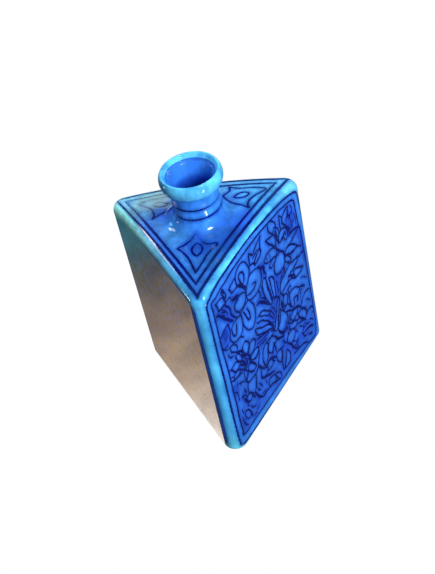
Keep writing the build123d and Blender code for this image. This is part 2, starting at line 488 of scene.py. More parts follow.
panel = {
    "frameWidth": 0.52,      # half widths of the brush lines
    "innerWidth": 0.5,
    "petalWidth": 0.47,
    "lineWidth": 0.42,
    "thickWidth": 0.57,
    "heavyWidth": 0.84,
    "poolWidth": 1.25,
    "petalSoft": 0.8,        # soft edges of the fills
    "washSoft": 2.2,
    "mirrorAcross": 0.98,    # the left wall's panel
    "mirrorUp": 0.952,
    "mirrorFoot": 2.5,
    "mirrorFrame": 0.4,
    "outer": [(-46.1, 111.5), (-40.9, 114), (-36.8, 114.9), (-32.1, 115.7), (-25.8, 116.3), (-17.3, 117),
              (-8.7, 117.6), (1.6, 117.6), (7.5, 117.1), (15.9, 116.6), (24, 115.8), (32, 114.6),
              (38, 113.1), (41.3, 111.9), (42.8, 110.4), (43.6, 107.5), (44.3, 103.1), (45.2, 97.7),
              (46.3, 89.3), (46.6, 76.6), (46.7, 58.3), (46.8, 37), (46.8, 20.6), (46.7, 8.8), (46, 1.3),
              (39.4, 1.1), (27.1, 1.3), (14.7, 1.6), (1.8, 1.8), (-10.2, 2), (-22.8, 2.4), (-35.1, 3),
              (-45.4, 3.6), (-46.7, 5.9), (-47, 13.5), (-47.1, 27.6), (-47, 42.7), (-46.9, 58), (-47, 78),
              (-46.9, 93.3), (-46.8, 104.4)],
    "inner": [(-43.5, 110), (-39.5, 110.4), (-35.2, 111.8), (-30.2, 112.4), (-25.2, 113.4), (-18.7, 114),
              (-10.2, 114.4), (1.8, 114.6), (10.6, 114.1), (16.8, 113.4), (24.7, 112.7), (29.2, 111.7),
              (35.4, 110.3), (38.3, 108.8), (39.5, 106.6), (39.7, 101.3), (40, 96.6), (40.2, 90),
              (41.3, 85.4), (41.8, 70), (42.2, 50), (42.5, 30), (42.3, 15), (41, 5.4), (37.6, 4.6),
              (31, 5.75), (23, 6.2), (10, 7.3), (0, 7.6), (-15, 8.4), (-30, 8.9), (-42.8, 9.4), (-43.6, 15),
              (-43.8, 25), (-43.4, 37.7), (-43.4, 50), (-43.4, 65), (-43.8, 80), (-43.6, 95),
              (-43.5, 104)],
    # petals and leaves, filled and outlined
    "petals": [
        [(-39.2, 101.4), (-39.9, 104.6), (-40.4, 106.6), (-38.1, 106.8), (-35.8, 106.7), (-34.6, 106),
         (-34, 104.4), (-33.4, 102.4), (-33.2, 101.3)],
        [(-34.9, 108.8), (-34, 110.6), (-33.1, 109.6), (-32.1, 106.9), (-31.7, 104.6), (-32.3, 103.6),
         (-33.1, 104.8), (-33.9, 106.6)],
        [(-28.6, 106), (-27.7, 104.4), (-27.1, 102.2), (-25.4, 101.7), (-23.1, 101.7), (-21.8, 101.6),
         (-22, 104.4), (-22, 107.5), (-23.8, 107.3), (-26.2, 106.7)],
        [(-15.2, 95.3), (-17.3, 98.5), (-19.2, 100.8), (-21.3, 101.9), (-21.9, 103.8), (-22.1, 106.5),
         (-21.3, 108.5), (-19.6, 110.2), (-17.7, 111.2), (-15.2, 111.4), (-13.1, 110.5), (-11.5, 108.7),
         (-10.6, 106.5), (-9.8, 104.2), (-9.8, 101.5), (-10.8, 99), (-12.5, 96.9), (-14.4, 95)],
        [(-14.2, 95), (-13.1, 96.2), (-11.2, 98.1), (-9.2, 99), (-6.9, 98.5), (-4.2, 97.9), (-2.3, 96.7),
         (-0.8, 94.6), (-0.4, 91.5), (-0.8, 88.8), (-1.9, 86.5), (-4.2, 84.6), (-6.9, 83.7), (-9.6, 83.5),
         (-12.3, 84.2), (-14.6, 85.4), (-15.8, 87), (-16, 91)],
        [(-26.9, 93.1), (-27.3, 90.8), (-26.5, 88.5), (-25, 86.9), (-23.1, 86.2), (-20.4, 86.2),
         (-18.1, 87.3), (-16.9, 89.2), (-16.5, 91.5), (-17.3, 93.5), (-19.2, 94.6), (-21.5, 95.2),
         (-24, 94.8)],
        [(-29, 84.4), (-32, 83.6), (-34.6, 81.8), (-35.9, 79.6), (-36, 77.7), (-35, 75), (-33.1, 72.9),
         (-31.2, 71.9), (-28.5, 71.7), (-26.6, 72.4), (-24.8, 74.2), (-23.8, 76.4), (-23.5, 79),
         (-23.5, 82), (-24.4, 84)],
        [(-23.5, 84.2), (-23.4, 80), (-23.5, 77.7), (-23.1, 75), (-21.9, 71.9), (-20.4, 69.2),
         (-18.1, 67.5), (-16.2, 66.9), (-14.8, 67.6), (-13.5, 68.8), (-12.1, 71.5), (-11.5, 74.6),
         (-11.5, 77.7), (-11.9, 79.8), (-13.5, 83.1), (-15.4, 86.2), (-19.5, 85.6)],
        [(-8.3, 103.8), (-8.1, 107.3), (-7.7, 110.5), (-5.8, 108.8), (-4.2, 107.7), (-2.3, 108.8),
         (0, 110.4), (2.2, 111.3), (4.8, 112.5), (3.8, 111.2), (3, 108.8), (2.2, 106.9), (0.6, 105.4),
         (-2, 104.2), (-4, 102.4), (-6.5, 103.1)],
        [(-3.8, 100.2), (-1.5, 101.1), (0.3, 101.6), (2.2, 102.7), (3, 104.2), (1.8, 105.8), (-0.6, 104.7),
         (-2.6, 103.6), (-4.6, 101.8)],
        [(8.4, 105.8), (9.9, 105.4), (12.2, 104.6), (14.5, 104), (15.6, 103.6), (16.8, 102.3), (17.6, 100),
         (17, 97.6), (16.1, 94.8), (14.2, 97.3), (12.2, 100), (10.3, 102.7), (9.2, 104.6)],
        [(12.6, 113.5), (12.2, 111.2), (12.8, 108.1), (14.2, 106.2), (15.6, 105), (17.4, 106.4),
         (19.5, 107.2), (19.2, 108.8), (18, 110.8), (16.8, 112.1), (15.3, 113.3), (13.8, 113.8)],
        [(18.8, 104.8), (19.9, 105), (21.1, 103.1), (21.5, 100.8), (20.3, 99.2), (19.3, 99.4),
         (18.8, 101.9)],
        [(19.9, 96.9), (20.3, 98.8), (21.8, 100), (24.5, 100.6), (26.8, 99.6), (28.4, 97.7), (28.8, 95),
         (28.4, 92.3), (26.5, 91.5), (25.3, 92.6), (24.9, 94.2), (22.4, 94.8), (20.6, 94.4)],
        [(4.2, 95.6), (5.7, 96.9), (8, 97.5), (10.7, 97.7), (13, 97.1), (14.5, 95.8), (16.2, 94),
         (16.4, 91.4), (14.5, 89.8), (12.2, 90.8), (9.5, 91.5), (6.8, 92.1), (4.5, 93.8)],
        [(8, 89.2), (9.9, 90), (12.6, 90.6), (14.6, 89.4), (13, 87.8), (10.6, 86.8), (9.2, 86.5),
         (7.7, 88)],
        [(15.3, 88.8), (13.4, 87.3), (12.2, 85.4), (11.3, 83.1), (11.3, 80.8), (12.6, 78.5), (14.9, 77.3),
         (18, 77), (20.7, 78.1), (22, 80), (22.4, 83.5), (21.8, 86.5), (19.8, 88.6), (17.4, 89.4)],
        [(23, 83.8), (25, 85.8), (27.6, 85.8), (29.9, 85), (32.2, 83.5), (34.2, 81.5), (35, 79.6),
         (33.8, 79), (31.5, 79.6), (28.8, 80), (26.8, 81.2), (24.9, 82.3)],
        [(22.6, 80.6), (24.6, 81.8), (26.8, 79.4), (28.2, 77.2), (27.4, 75.8), (25.6, 76.4), (24.2, 77.4),
         (22.6, 79)],
        [(-1.2, 84.2), (-1.5, 81.2), (-1.5, 77.7), (-0.6, 73.5), (1.1, 69.2), (2.6, 65.8), (4.2, 65.9),
         (3.8, 70), (3.4, 74.2), (2.7, 77.5), (2.6, 81), (2.6, 84.2), (1.4, 86.4), (-0.2, 86.2)],
        [(5.3, 82.4), (5.8, 79.2), (5.9, 74.2), (6.3, 70.4), (6.5, 67.3), (8.8, 66.9), (9, 70), (9.2, 74.2),
         (9.5, 78.1), (8.6, 80.7), (6.8, 82)],
        [(13.4, 63.6), (13.2, 66.5), (14.6, 69.4), (17, 71.4), (20.4, 72.4), (24, 73.6), (27, 74),
         (28.8, 73.4), (31.8, 72.6), (34, 72.2), (33.4, 70), (31.1, 69.2), (28.8, 68.5), (25.7, 68.1),
         (23, 67.4), (21.6, 65), (18.8, 64.4), (16, 63.8)],
        [(28.6, 66.8), (31.5, 66.5), (33.4, 65.4), (35.3, 63.8), (37.6, 61.9), (36, 60.9), (33, 60.8),
         (30.4, 61.2), (28.6, 63), (28, 65)],
        [(13.9, 57.3), (14.2, 54.6), (15, 52.8), (17, 52.6), (18.8, 55.4), (18.9, 58.4), (17.4, 60),
         (15.2, 59.4)],
        [(21.1, 56.2), (23.4, 56.9), (26.1, 56.3), (28.4, 55), (29.9, 53.5), (31.6, 51.6), (31, 49.4),
         (28.4, 48.4), (26.5, 49.3), (24.6, 49.7), (24.4, 47.2), (24.2, 45.2), (22.6, 44.6), (21.2, 46.4),
         (20.8, 49.2), (20.4, 53)],
        [(8, 46.9), (6.4, 46.4), (5.3, 44.2), (6.1, 41.9), (7.6, 40), (9.4, 38.6), (12, 38.4), (14.5, 38.9),
         (15.4, 40.2), (15.9, 43.1), (15.7, 46.2), (14.4, 48.6), (12.6, 51.4), (11, 53.2), (10.3, 55.2),
         (9.6, 52), (8.9, 49)],
        [(8.4, 61.5), (10.2, 63.2), (11.4, 62), (9.9, 58.5), (8.8, 55.4), (8, 52.3), (7.2, 53.1), (6.6, 51),
         (6.3, 49.2), (5.3, 46.5), (3.6, 45), (1.6, 46.6), (3.4, 49.6), (4.6, 53), (6.3, 55.4),
         (7.2, 58.5)],
        [(-28.5, 63), (-27.3, 64.6), (-25.4, 65.4), (-23.5, 63.8), (-22.3, 61.5), (-23.1, 59.2),
         (-24.6, 57.4), (-26.4, 57.2), (-27.9, 59.4)],
        [(-21.9, 60), (-19.2, 60.4), (-17.3, 59.2), (-16.5, 57.3), (-17.7, 55), (-19.6, 53.5),
         (-22.3, 52.7), (-24.2, 53.5), (-24.6, 55.4), (-23.5, 57.5)],
        [(-23.3, 51.8), (-20.4, 52.3), (-16.7, 52.2), (-15.4, 50.4), (-16.5, 48.5), (-19.2, 47.3),
         (-21.5, 47.7), (-23.2, 48.9)],
        [(-25, 48.5), (-23.1, 46.2), (-21.5, 44.2), (-20.4, 41.4), (-23.1, 40.8), (-25.4, 42.3),
         (-27.3, 44.6), (-27.3, 46.5), (-26.2, 48.1)],
        [(-29.8, 48.2), (-28.5, 45.4), (-28.8, 43.1), (-30.4, 41.4), (-31.3, 41.6), (-31.9, 43.8),
         (-31.6, 46.5), (-30.8, 48)],
        [(-40, 53.5), (-38.1, 54.6), (-35.4, 54.2), (-34.2, 52.7), (-35.4, 51.2), (-38.5, 51.2),
         (-40.4, 51.9)],
        [(-40.8, 60), (-38.1, 60.6), (-35.8, 60.8), (-34.2, 58.8), (-32.4, 56.9), (-34.6, 55.5),
         (-38.1, 55.4), (-39.6, 57.3)],
        [(-35.2, 63.3), (-34.6, 60.8), (-32.7, 58.1), (-30.8, 57.3), (-30.7, 59.6), (-31.9, 62.7),
         (-33.6, 64.7)],
        [(-37.6, 73), (-36.4, 73.3), (-34.4, 72.4), (-32.9, 70.4), (-32.3, 68), (-33.4, 66), (-35.8, 68.2),
         (-37.6, 70.2)],
        [(-14.2, 63.5), (-12.3, 62.3), (-10, 60.4), (-7.3, 58.5), (-3.8, 56.6), (-1.5, 54.4), (0.4, 51.4),
         (1, 49.6), (-1.9, 51.6), (-5.4, 53.2), (-8.5, 55.1), (-11.5, 57), (-13.8, 58.9), (-14.6, 60.9)],
        [(-8.8, 68.7), (-6.9, 69), (-4.6, 68.1), (-2.3, 65.8), (0, 63.5), (0.6, 61.4), (-0.8, 61.4),
         (-2.7, 62.5), (-5, 64.8), (-7.3, 66.4)],
        [(-7.7, 39.6), (-6.9, 41.9), (-5.4, 44.2), (-3.8, 45.8), (-1.2, 45.4), (0.4, 43.1), (1.5, 40.4),
         (0.2, 38.2), (-1.2, 39.8), (-1.9, 38.2), (-3.6, 36), (-6, 36.4)],
        [(-13.7, 39.4), (-12.7, 43.1), (-10.8, 45.8), (-8.2, 46.5), (-6.4, 44.2), (-7.2, 41.4),
         (-7.8, 38.4), (-9, 36.2), (-10.6, 34.2), (-12.4, 32.6), (-13.5, 35.5)],
        [(-30.8, 37), (-29.2, 37.7), (-26.9, 37.4), (-23.8, 37.1), (-22.4, 36.6), (-23.1, 33.2),
         (-23.5, 30.1), (-25, 27.8), (-26.6, 26.6), (-28.2, 27.4), (-29.4, 29.6), (-31.2, 31.2),
         (-31.5, 34.3)],
        [(-34.6, 30.1), (-34.2, 28.2), (-33.1, 26.2), (-31.5, 25.1), (-29.7, 25.8), (-29.2, 28.2),
         (-30.8, 30.1), (-32.7, 30.7)],
        [(-16.9, 34.4), (-15.6, 33.8), (-13.8, 32.6), (-12.4, 31.6), (-11, 29.6), (-13, 27), (-15.4, 27.2),
         (-17.2, 28.8), (-17.9, 31)],
        [(-10.6, 31.6), (-8, 32.4), (-5.6, 31.4), (-4.8, 29.6), (-5.4, 27.5), (-8.4, 27.1), (-11, 27.8)],
        [(-12.4, 20.3), (-10.4, 20.8), (-8.1, 20.1), (-6.5, 19.4), (-5.4, 17), (-4.8, 14.6), (-7.2, 14),
         (-10.2, 15.3), (-12.6, 16), (-13, 18)],
        [(-4.6, 18.2), (-2.3, 16.6), (-0.4, 14.3), (0, 11.4), (-1.5, 10.2), (-2.7, 11.4), (-4, 14),
         (-5, 16.4)],
        [(-38.4, 22.2), (-36.9, 22.6), (-35.4, 21.6), (-34.2, 19.7), (-33.6, 17.2), (-34.6, 15.4),
         (-36.8, 15.6), (-38, 17.8), (-38.8, 20.1)],
        [(15.6, 34.4), (15.6, 36.4), (16.4, 37.8), (17.2, 37), (19.5, 35.5), (21.8, 34.7), (24, 32.8),
         (23.2, 30.8), (21.1, 30.3), (19.2, 30.9), (16.8, 32.4)],
        [(18.2, 40.8), (18.4, 39), (19.6, 36.8), (22, 36), (24.8, 37), (25.8, 38.6), (26.4, 40.4),
         (24, 41.8), (21, 42.2)],
        [(26.2, 35.2), (26.6, 33), (28.8, 30.4), (30.8, 28), (32.4, 26.2), (34.2, 28), (34.4, 31),
         (32.6, 33.8), (30.6, 35.4), (28.4, 36)],
        [(11.5, 30.1), (11.3, 27.4), (12.2, 25.5), (14.2, 23.6), (17.2, 23.5), (19.2, 24.7), (20.3, 27),
         (20.3, 29.3), (18.6, 31), (16.4, 32), (13.6, 31.6)],
        [(-1.2, 29.7), (-1.2, 26.6), (-0.5, 23.9), (1.1, 21.6), (2.8, 20.6), (4.4, 22.6), (4.6, 25.4),
         (4.4, 28.4), (3, 30.1), (0.7, 30.6)],
        [(9.5, 23.2), (11.1, 20.8), (11.8, 18.5), (11.8, 15.5), (10.7, 12.8), (8.4, 12.4), (5.4, 12.8),
         (5.2, 15), (6.6, 17.2), (8, 20.5)],
        [(21.8, 20), (19.6, 18.6), (18.6, 16.2), (19.4, 13.8), (21.6, 12.9), (20.6, 15), (20.8, 17.4)],
    ],
    # fine brush lines
    "lines": [
        [(-41.5, 101.2), (-38.5, 100.8), (-35.4, 100.6), (-32.7, 101.2), (-29.2, 101.2), (-28.5, 98.5)],
        [(-38.5, 99.2), (-36.2, 97.3), (-34.8, 96.2)],
        [(-40.8, 82.3), (-38.8, 83.5), (-36.9, 84.4)],
        [(-41.6, 84.2), (-39.4, 85.4), (-37.4, 86.2)],
        [(-40.4, 80.6), (-38.4, 81.6), (-36.8, 82.6)],
        [(-43.4, 83.1), (-43.8, 80.4), (-43.2, 78.1), (-42.3, 76.5), (-40.6, 74.8)],
        [(-2.6, 84.6), (-2.4, 81), (-1.6, 77.7)],
        [(11.5, 75), (11.4, 70.4), (11.5, 66.9)],
        [(33.8, 98.5), (34.2, 95.4), (32.6, 93.8)],
        [(34.9, 97.3), (36.8, 96.9)],
        [(6.5, 96.2), (7.2, 93.1)],
        [(9, 97), (9.6, 92.6)],
        [(16.1, 72.3), (17.6, 73.1)],
        [(18, 73.1), (19.5, 71.5)],
        [(19.9, 73.5), (20.7, 71.9)],
        [(14.2, 70.4), (15.4, 71.6), (16.4, 73.6), (18.6, 75)],
        [(31.8, 79.6), (34.5, 79), (35.8, 78.2)],
        [(31.5, 48.1), (32.2, 46.5), (31.1, 43.8)],
        [(29.4, 48.2), (28.6, 46), (27.6, 44.6)],
        [(32.6, 41.2), (31.8, 39.2)],
        [(-43.1, 76.5), (-41, 76.6), (-38.8, 76.2)],
        [(-40.8, 74.6), (-38.8, 73.8), (-35.8, 73.5), (-33.5, 71.9)],
        [(-40.4, 71.2), (-40, 68.8), (-38.5, 66.9), (-35.8, 65.8)],
        [(-42.7, 55.6), (-41.2, 54.8), (-40.4, 53.8)],
        [(-43.2, 62), (-42.2, 60.6), (-40.9, 60)],
        [(-38.8, 48.5), (-39.2, 45.4)],
        [(-15.4, 48.1), (-15.8, 46.5), (-17.3, 43.1), (-18.2, 41.4)],
        [(-14.4, 55), (-10.4, 54.6), (-6.9, 53.1), (-3.8, 51.5)],
        [(-15.4, 53.1), (-11.5, 52.3), (-7.7, 51.5), (-4.2, 50.8)],
        [(-15.8, 56.9), (-13.1, 56.2), (-10.4, 54.8)],
        [(-14.6, 50.6), (-11, 50.2), (-7.6, 50)],
        [(-12.8, 48.2), (-9.8, 48.8), (-6.4, 49)],
        [(-40.4, 39.3), (-40.6, 37), (-40.4, 35.1)],
        [(-35.6, 34.2), (-34.6, 32.8), (-34.2, 31.2)],
        [(-17, 34.3), (-17.7, 32), (-18.3, 30.3)],
        [(-14.8, 23.9), (-14.8, 21.2)],
        [(-22.3, 18.5), (-19.2, 18.2), (-16, 17.6)],
        [(-40, 18.9), (-38.8, 17)],
        [(-40.4, 27.4), (-40, 25.1), (-39.6, 23.2)],
        [(-36.6, 33), (-36.2, 30.4), (-35.6, 28.6)],
        [(2.6, 20.1), (3, 17.4), (2.6, 13.5)],
        [(15.3, 23.2), (17.6, 22), (19.5, 20.1)],
        [(24.9, 37), (26.1, 35.1)],
        [(22, 29.6), (21.6, 27), (22.4, 24.4)],
        [(36.4, 21.4), (38.6, 19.8), (40.4, 17.6)],
        [(30.6, 20.6), (33, 20.4), (36, 19.4)],
        [(28.4, 14.2), (31, 13.6), (33.6, 13.8)],
        [(1.8, 53.1), (3.8, 51.5), (3.2, 50.4)],
        [(35.2, 108), (36.4, 105), (36, 101.6)],
        [(37.6, 101), (38.4, 97), (38, 93)],
        [(-37.4, 45.6), (-34.4, 43.8), (-31.8, 41)],
        [(-32.4, 22.4), (-31.4, 19.4), (-29.6, 17.2)],
        [(34, 42.6), (31.6, 41), (31, 38.4)],
        [(24.6, 27.4), (27, 25), (29.6, 22.4)],
        [(28.6, 22), (32, 20.6), (35, 21)],
        [(-6, 22), (-5.6, 20)],
        [(-39.6, 98.4), (-37, 96), (-35.6, 94)],
        [(-36.8, 99.6), (-34.8, 97), (-33.4, 93.6)],
        [(-42.6, 44), (-40.6, 41.4), (-40.2, 38)],
        [(1.6, 62.4), (3.4, 58), (4, 54.4)],
        [(2.8, 64), (5, 60), (5.6, 56.4)],
        [(-1, 61), (1.4, 57.6), (2.8, 54)],
        [(34.4, 56.6), (37.4, 54.6), (40.4, 51.6)],
        [(36, 38), (38.6, 36), (40.6, 33)],
    ],
    # loaded brush lines
    "thick": [
        [(-40.9, 107.2), (-40.1, 105), (-39.3, 101.8)],
        [(-34.6, 109), (-34.1, 110.2), (-33.4, 109.2), (-32.4, 107)],
        [(-28.7, 106.2), (-27.8, 104.6), (-27.2, 102.6)],
        [(-22, 108), (-22.1, 106), (-22, 104)],
        [(-34.2, 100.8), (-33.1, 98.5), (-31.5, 96.5), (-30.8, 93.5), (-31, 91.2), (-30, 88.8),
         (-28.5, 86.5), (-26.2, 84.2)],
        [(-28.3, 98.3), (-26, 97.6), (-23.6, 97.1), (-22.7, 95.6), (-23.8, 94.4), (-25.5, 93.6)],
        [(-21.7, 101.5), (-19.6, 99.6), (-17.7, 97.3), (-16.5, 95.4), (-15.8, 93.3), (-16.2, 91),
         (-16.4, 89)],
        [(-19.3, 106.4), (-18.9, 103.6)],
        [(-43.3, 85.3), (-41.2, 86.5), (-38.8, 87.5), (-35.4, 88.1), (-35, 85.4), (-34.6, 83.1)],
        [(-26.9, 93.1), (-27.3, 90.8), (-26.5, 88.5), (-25, 86.9), (-23.6, 84.4)],
        [(-9.6, 104.6), (-9.6, 101.8), (-10.8, 99)],
        [(0.4, 95), (-0.4, 92.4), (-0.6, 90)],
        [(3, 90), (3.4, 87), (2.7, 83.8)],
        [(15.3, 104.6), (16.8, 102.3), (17.6, 100), (19, 96.9), (19.2, 94.4)],
        [(13.2, 113.8), (15.3, 113.3), (16.8, 112.1), (18, 110.8), (19.2, 108.8)],
        [(17.2, 107.3), (18.8, 106.3), (19.6, 105)],
        [(18.1, 104.8), (18, 102.4), (18.8, 99.4)],
        [(21.2, 103), (21.5, 100.8), (20.4, 99.2)],
        [(29.3, 102.3), (31, 103.4), (33.4, 102.6), (34.8, 103.3)],
        [(32.4, 109.2), (33.2, 108.6)],
        [(26.5, 97.3), (24.5, 95.8), (22.2, 95), (20.5, 94.1)],
        [(28.8, 98.5), (30.3, 96.9), (30.7, 93.8), (31.1, 92.3), (29.4, 91.8)],
        [(29.5, 86.2), (32.6, 86.9), (35.7, 87.7), (38, 88.5)],
        [(23, 84.2), (24.9, 81.9), (26.8, 79.2), (28.2, 77.2)],
        [(8, 89.3), (9.9, 90.1), (12.6, 90.8), (14.9, 89.6), (16.8, 88.8)],
        [(7.6, 88.5), (9.2, 86.5)],
        [(4.6, 93.8), (6.8, 92.1), (9.5, 91.5), (12.2, 90.8)],
        [(12.6, 78.6), (13.2, 77)],
        [(11.2, 74.6), (11.8, 73.4)],
        [(16.1, 76.3), (17, 76.6)],
        [(19.5, 76.9), (20.6, 75.8), (20.3, 74.2)],
        [(35.3, 79.6), (37.2, 77.7), (39.5, 76.2)],
        [(33.8, 73.1), (35.3, 71.5), (37.2, 71.2), (39.2, 71.5), (41.1, 70.4)],
        [(18.8, 64.6), (21.1, 64.4), (23.4, 64.6), (25.7, 64.2), (27.2, 62.7), (29.2, 61.2), (31.8, 60.6),
         (34.5, 60.8)],
        [(37.4, 62), (38.8, 61.2)],
        [(6.5, 65.8), (7.6, 66.3), (9.9, 64.6), (11.6, 63.4)],
        [(19.5, 60.4), (22.6, 60.8), (23.4, 60)],
        [(20.3, 60), (20.7, 56.9), (20.3, 53.1), (20.7, 49.2), (21.1, 46.2)],
        [(21.1, 56.2), (23.4, 56.9), (26.1, 56.3), (28.4, 55), (29.9, 53.5)],
        [(24.2, 45.4), (24.5, 47.3), (24.5, 49.6), (26.5, 49.2), (28.4, 48.1), (27.6, 45.4)],
        [(32.2, 48.8), (34.2, 48.1)],
        [(17.2, 52.3), (18.8, 50.8), (19.9, 48.1), (20.7, 46.2)],
        [(14.5, 48.5), (15.7, 46.2), (15.9, 43.1), (15.3, 40), (14.5, 38.6)],
        [(18, 44.2), (17.6, 41.5), (17.2, 38.5)],
        [(13.4, 42.7), (13.8, 40)],
        [(34.2, 42.3), (36.5, 43.5), (38.8, 43.1), (41.1, 41.9)],
        [(10.3, 55.4), (11.1, 53.1), (13, 51.5), (15, 51.2), (17.2, 52.2)],
        [(11.3, 61.9), (9.9, 58.5), (8.8, 55.4), (8, 52.3), (7.2, 48.1)],
        [(-9.6, 76.9), (-6.5, 75.8), (-3.8, 73.1), (-1.5, 70.4), (1.2, 66.9)],
        [(-7.3, 77.2), (-4.6, 75), (-2.3, 72.7), (0, 69.2), (1.9, 66.5)],
        [(-4.2, 76.9), (-1.9, 75), (-0.4, 72.3)],
        [(-11.2, 68.8), (-8.8, 69), (-6.9, 69.2), (-4.6, 68.2), (-2.3, 65.8), (0, 63.5), (1.9, 61.5)],
        [(-12.3, 66.9), (-11.5, 65.4), (-9.2, 64.6), (-6.9, 63.1), (-5, 60.8), (-2.7, 58.5), (-0.4, 54.6),
         (1.5, 52.7)],
        [(-14.2, 63.5), (-12.3, 62.3), (-10, 60.4), (-7.3, 58.5), (-3.8, 56.8), (-1.5, 54.6), (0.3, 52.3),
         (2.6, 49.6)],
        [(-15, 63.8), (-14.6, 60.8), (-13.8, 58.8), (-11.5, 56.9), (-8.5, 55), (-5.4, 53.1), (-1.9, 51.4),
         (1.2, 49.2)],
        [(-2, 50), (-0.1, 48.5), (1.5, 46.9)],
        [(-5, 46.5), (-2.3, 46.2), (0, 47)],
        [(-25.4, 65.4), (-23.5, 63.8), (-22.3, 61.5), (-23.1, 59.2), (-24.6, 57.3)],
        [(-35.5, 65), (-35.7, 63.1)],
        [(-37.7, 69.6), (-35.8, 68.1), (-33.5, 65.8)],
        [(-34.6, 73.1), (-32.7, 70.4), (-32.3, 68.1)],
        [(-33.1, 72.9), (-31.2, 71.9), (-28.5, 71.7), (-26.9, 70.8), (-25.4, 68.8)],
        [(-33.1, 55.4), (-30, 52.3), (-27, 50)],
        [(-31.5, 56.5), (-26.9, 51.5)],
        [(-29.2, 56.9), (-24.6, 50.8)],
        [(-33.8, 53.1), (-30.8, 49.6), (-26.9, 48.5)],
        [(-37.7, 45.8), (-36.2, 43.8)],
        [(-7.4, 39.4), (-8, 37.6)],
        [(-4.6, 34.7), (-3.5, 36.2), (-1.9, 38.2), (-1.2, 39.7), (-1, 37.8), (-0.5, 34.7), (-0.6, 32)],
        [(-31.5, 40.8), (-30.8, 39.7), (-29.2, 37.8), (-26.9, 37.4), (-23.8, 37.2), (-22.3, 37)],
        [(-34.6, 37.8), (-34, 35.5), (-33.3, 33.9)],
        [(-31.2, 31.2), (-29.6, 29.7), (-28.5, 27.4), (-27.7, 24.7), (-26.9, 22.4)],
        [(-35.6, 29.3), (-34.6, 27), (-33.5, 24.7)],
        [(-35, 25.1), (-33.5, 22.8)],
        [(-23.5, 25.8), (-22.3, 23.9), (-21.2, 22.4)],
        [(-21.2, 27.8), (-20, 25.8), (-19.2, 23.2)],
        [(-24.4, 29), (-23.6, 26.8)],
        [(-12.3, 20.5), (-10.4, 20.9), (-8.1, 20.1), (-6.5, 19.5), (-5.4, 17), (-4.2, 14.3),
         (-2.7, 11.2)],
        [(-20.8, 15.8), (-16.9, 16.2), (-13.8, 15.5), (-10.4, 15.1), (-7.3, 13.5), (-4.6, 12),
         (-2.3, 10.8)],
        [(-4.6, 18.2), (-2.3, 16.6), (-0.4, 14.3), (0, 11.2)],
        [(-38.3, 22.4), (-36.9, 22.6), (-35.4, 21.6), (-34.2, 19.7), (-33.5, 17), (-33.1, 14.7),
         (-32.3, 13.5)],
        [(-40.8, 15.8), (-39.6, 13.9), (-38.5, 12.4)],
        [(-30, 18.5), (-28.5, 17)],
        [(-30.8, 11.2), (-29.4, 12.2), (-28.9, 11.6)],
        [(-27.7, 13.2), (-26.2, 13.9)],
        [(14.9, 34.7), (16.5, 32.4), (19.2, 30.8), (21.1, 30.1), (24.2, 30.4)],
        [(13.8, 34.7), (13.4, 32.4), (12.6, 30.8)],
        [(15.7, 38.9), (17.2, 37), (19.5, 35.5), (21.8, 34.7), (24.2, 32.8), (26.5, 32), (28.8, 30.1),
         (30.7, 27.8), (32.6, 25.1)],
        [(24.5, 29.3), (26.5, 28.5), (28.8, 27.8), (31.1, 26.2), (33, 24.3)],
        [(36.1, 28.5), (38.4, 28.9), (40.7, 27.8), (42, 25.8)],
        [(40.4, 23.6), (41.6, 22.9)],
        [(11.5, 30.1), (11.3, 27.4), (12.2, 25.5), (14.2, 23.5), (14.9, 21.6), (14.9, 18.9)],
        [(17.6, 19), (18, 17.3)],
        [(-1.2, 29.7), (-1.2, 26.6), (-0.5, 23.9), (1.1, 21.6), (2.6, 20.1)],
        [(0.7, 30.8), (3, 30.1), (5.3, 29.3), (7.2, 28.5)],
        [(7, 33), (7.6, 32.4)],
        [(9.5, 23.2), (11.1, 20.8), (11.8, 18.5), (11.8, 15.5), (10.7, 12.8), (8.4, 12.4), (4.2, 12.3)],
        [(15.3, 13.5), (18, 12.8), (21.1, 12.4), (24.2, 11.6), (26.8, 10.8), (29.5, 8.9), (31.8, 7)],
        [(28.2, 21.2), (28.8, 20.2)],
        [(30.7, 23.5), (32.6, 22)],
        [(-34.3, 101), (-33.6, 99.4), (-32.8, 97.6)],
        [(-16.8, 98.6), (-18.3, 100.8), (-19, 103.1), (-19.2, 106), (-17.3, 106.9), (-15.4, 105.4),
         (-14.7, 103), (-15.2, 100.6), (-16.2, 99)],
        [(-15.6, 89.4), (-13, 88.3), (-10, 88.1), (-7.6, 89), (-6.4, 90.2), (-7.4, 91.3), (-9.4, 91.9)],
        [(-33.2, 82.6), (-33.4, 79.5), (-32.6, 77), (-31, 76), (-29.8, 77.6), (-29.2, 80.4),
         (-28.6, 82.4)],
        [(-21.4, 83.4), (-20.2, 80.4), (-19.3, 76.9), (-18.1, 74.7), (-16.9, 74.6), (-16.6, 77),
         (-17.2, 80.4), (-18.2, 83)],
        [(-6.2, 84.2), (-5, 82.4), (-4.7, 80.4), (-5.2, 78.4)],
        [(2.7, 85), (2.9, 80.5), (3.6, 76), (4.4, 71.5), (5.4, 67)],
        [(5, 83), (7.6, 81.6), (9, 79.4), (9.6, 76.6)],
        [(13.2, 87), (11.6, 84.6), (11.2, 81.5), (12, 79)],
        [(-8.2, 104), (-8, 107.4), (-7.6, 110.6), (-5.8, 108.8), (-4.2, 107.6), (-1.6, 109.4), (1, 110.8),
         (4.2, 112.2)],
        [(4, 112), (3, 108.8), (2.5, 106.4), (2.7, 104.2), (1.4, 102), (-1, 101), (-3, 100.4)],
        [(-8.2, 104), (-5.2, 102.6), (-3.2, 100.6)],
        [(-4.6, 105.6), (-2.4, 106.3), (0.4, 106.8)],
        [(12.5, 113.8), (12.2, 110.5), (12.8, 108), (14.4, 105.8), (16, 103.8), (17.4, 101.4), (18.6, 97.8),
         (19.4, 95.4)],
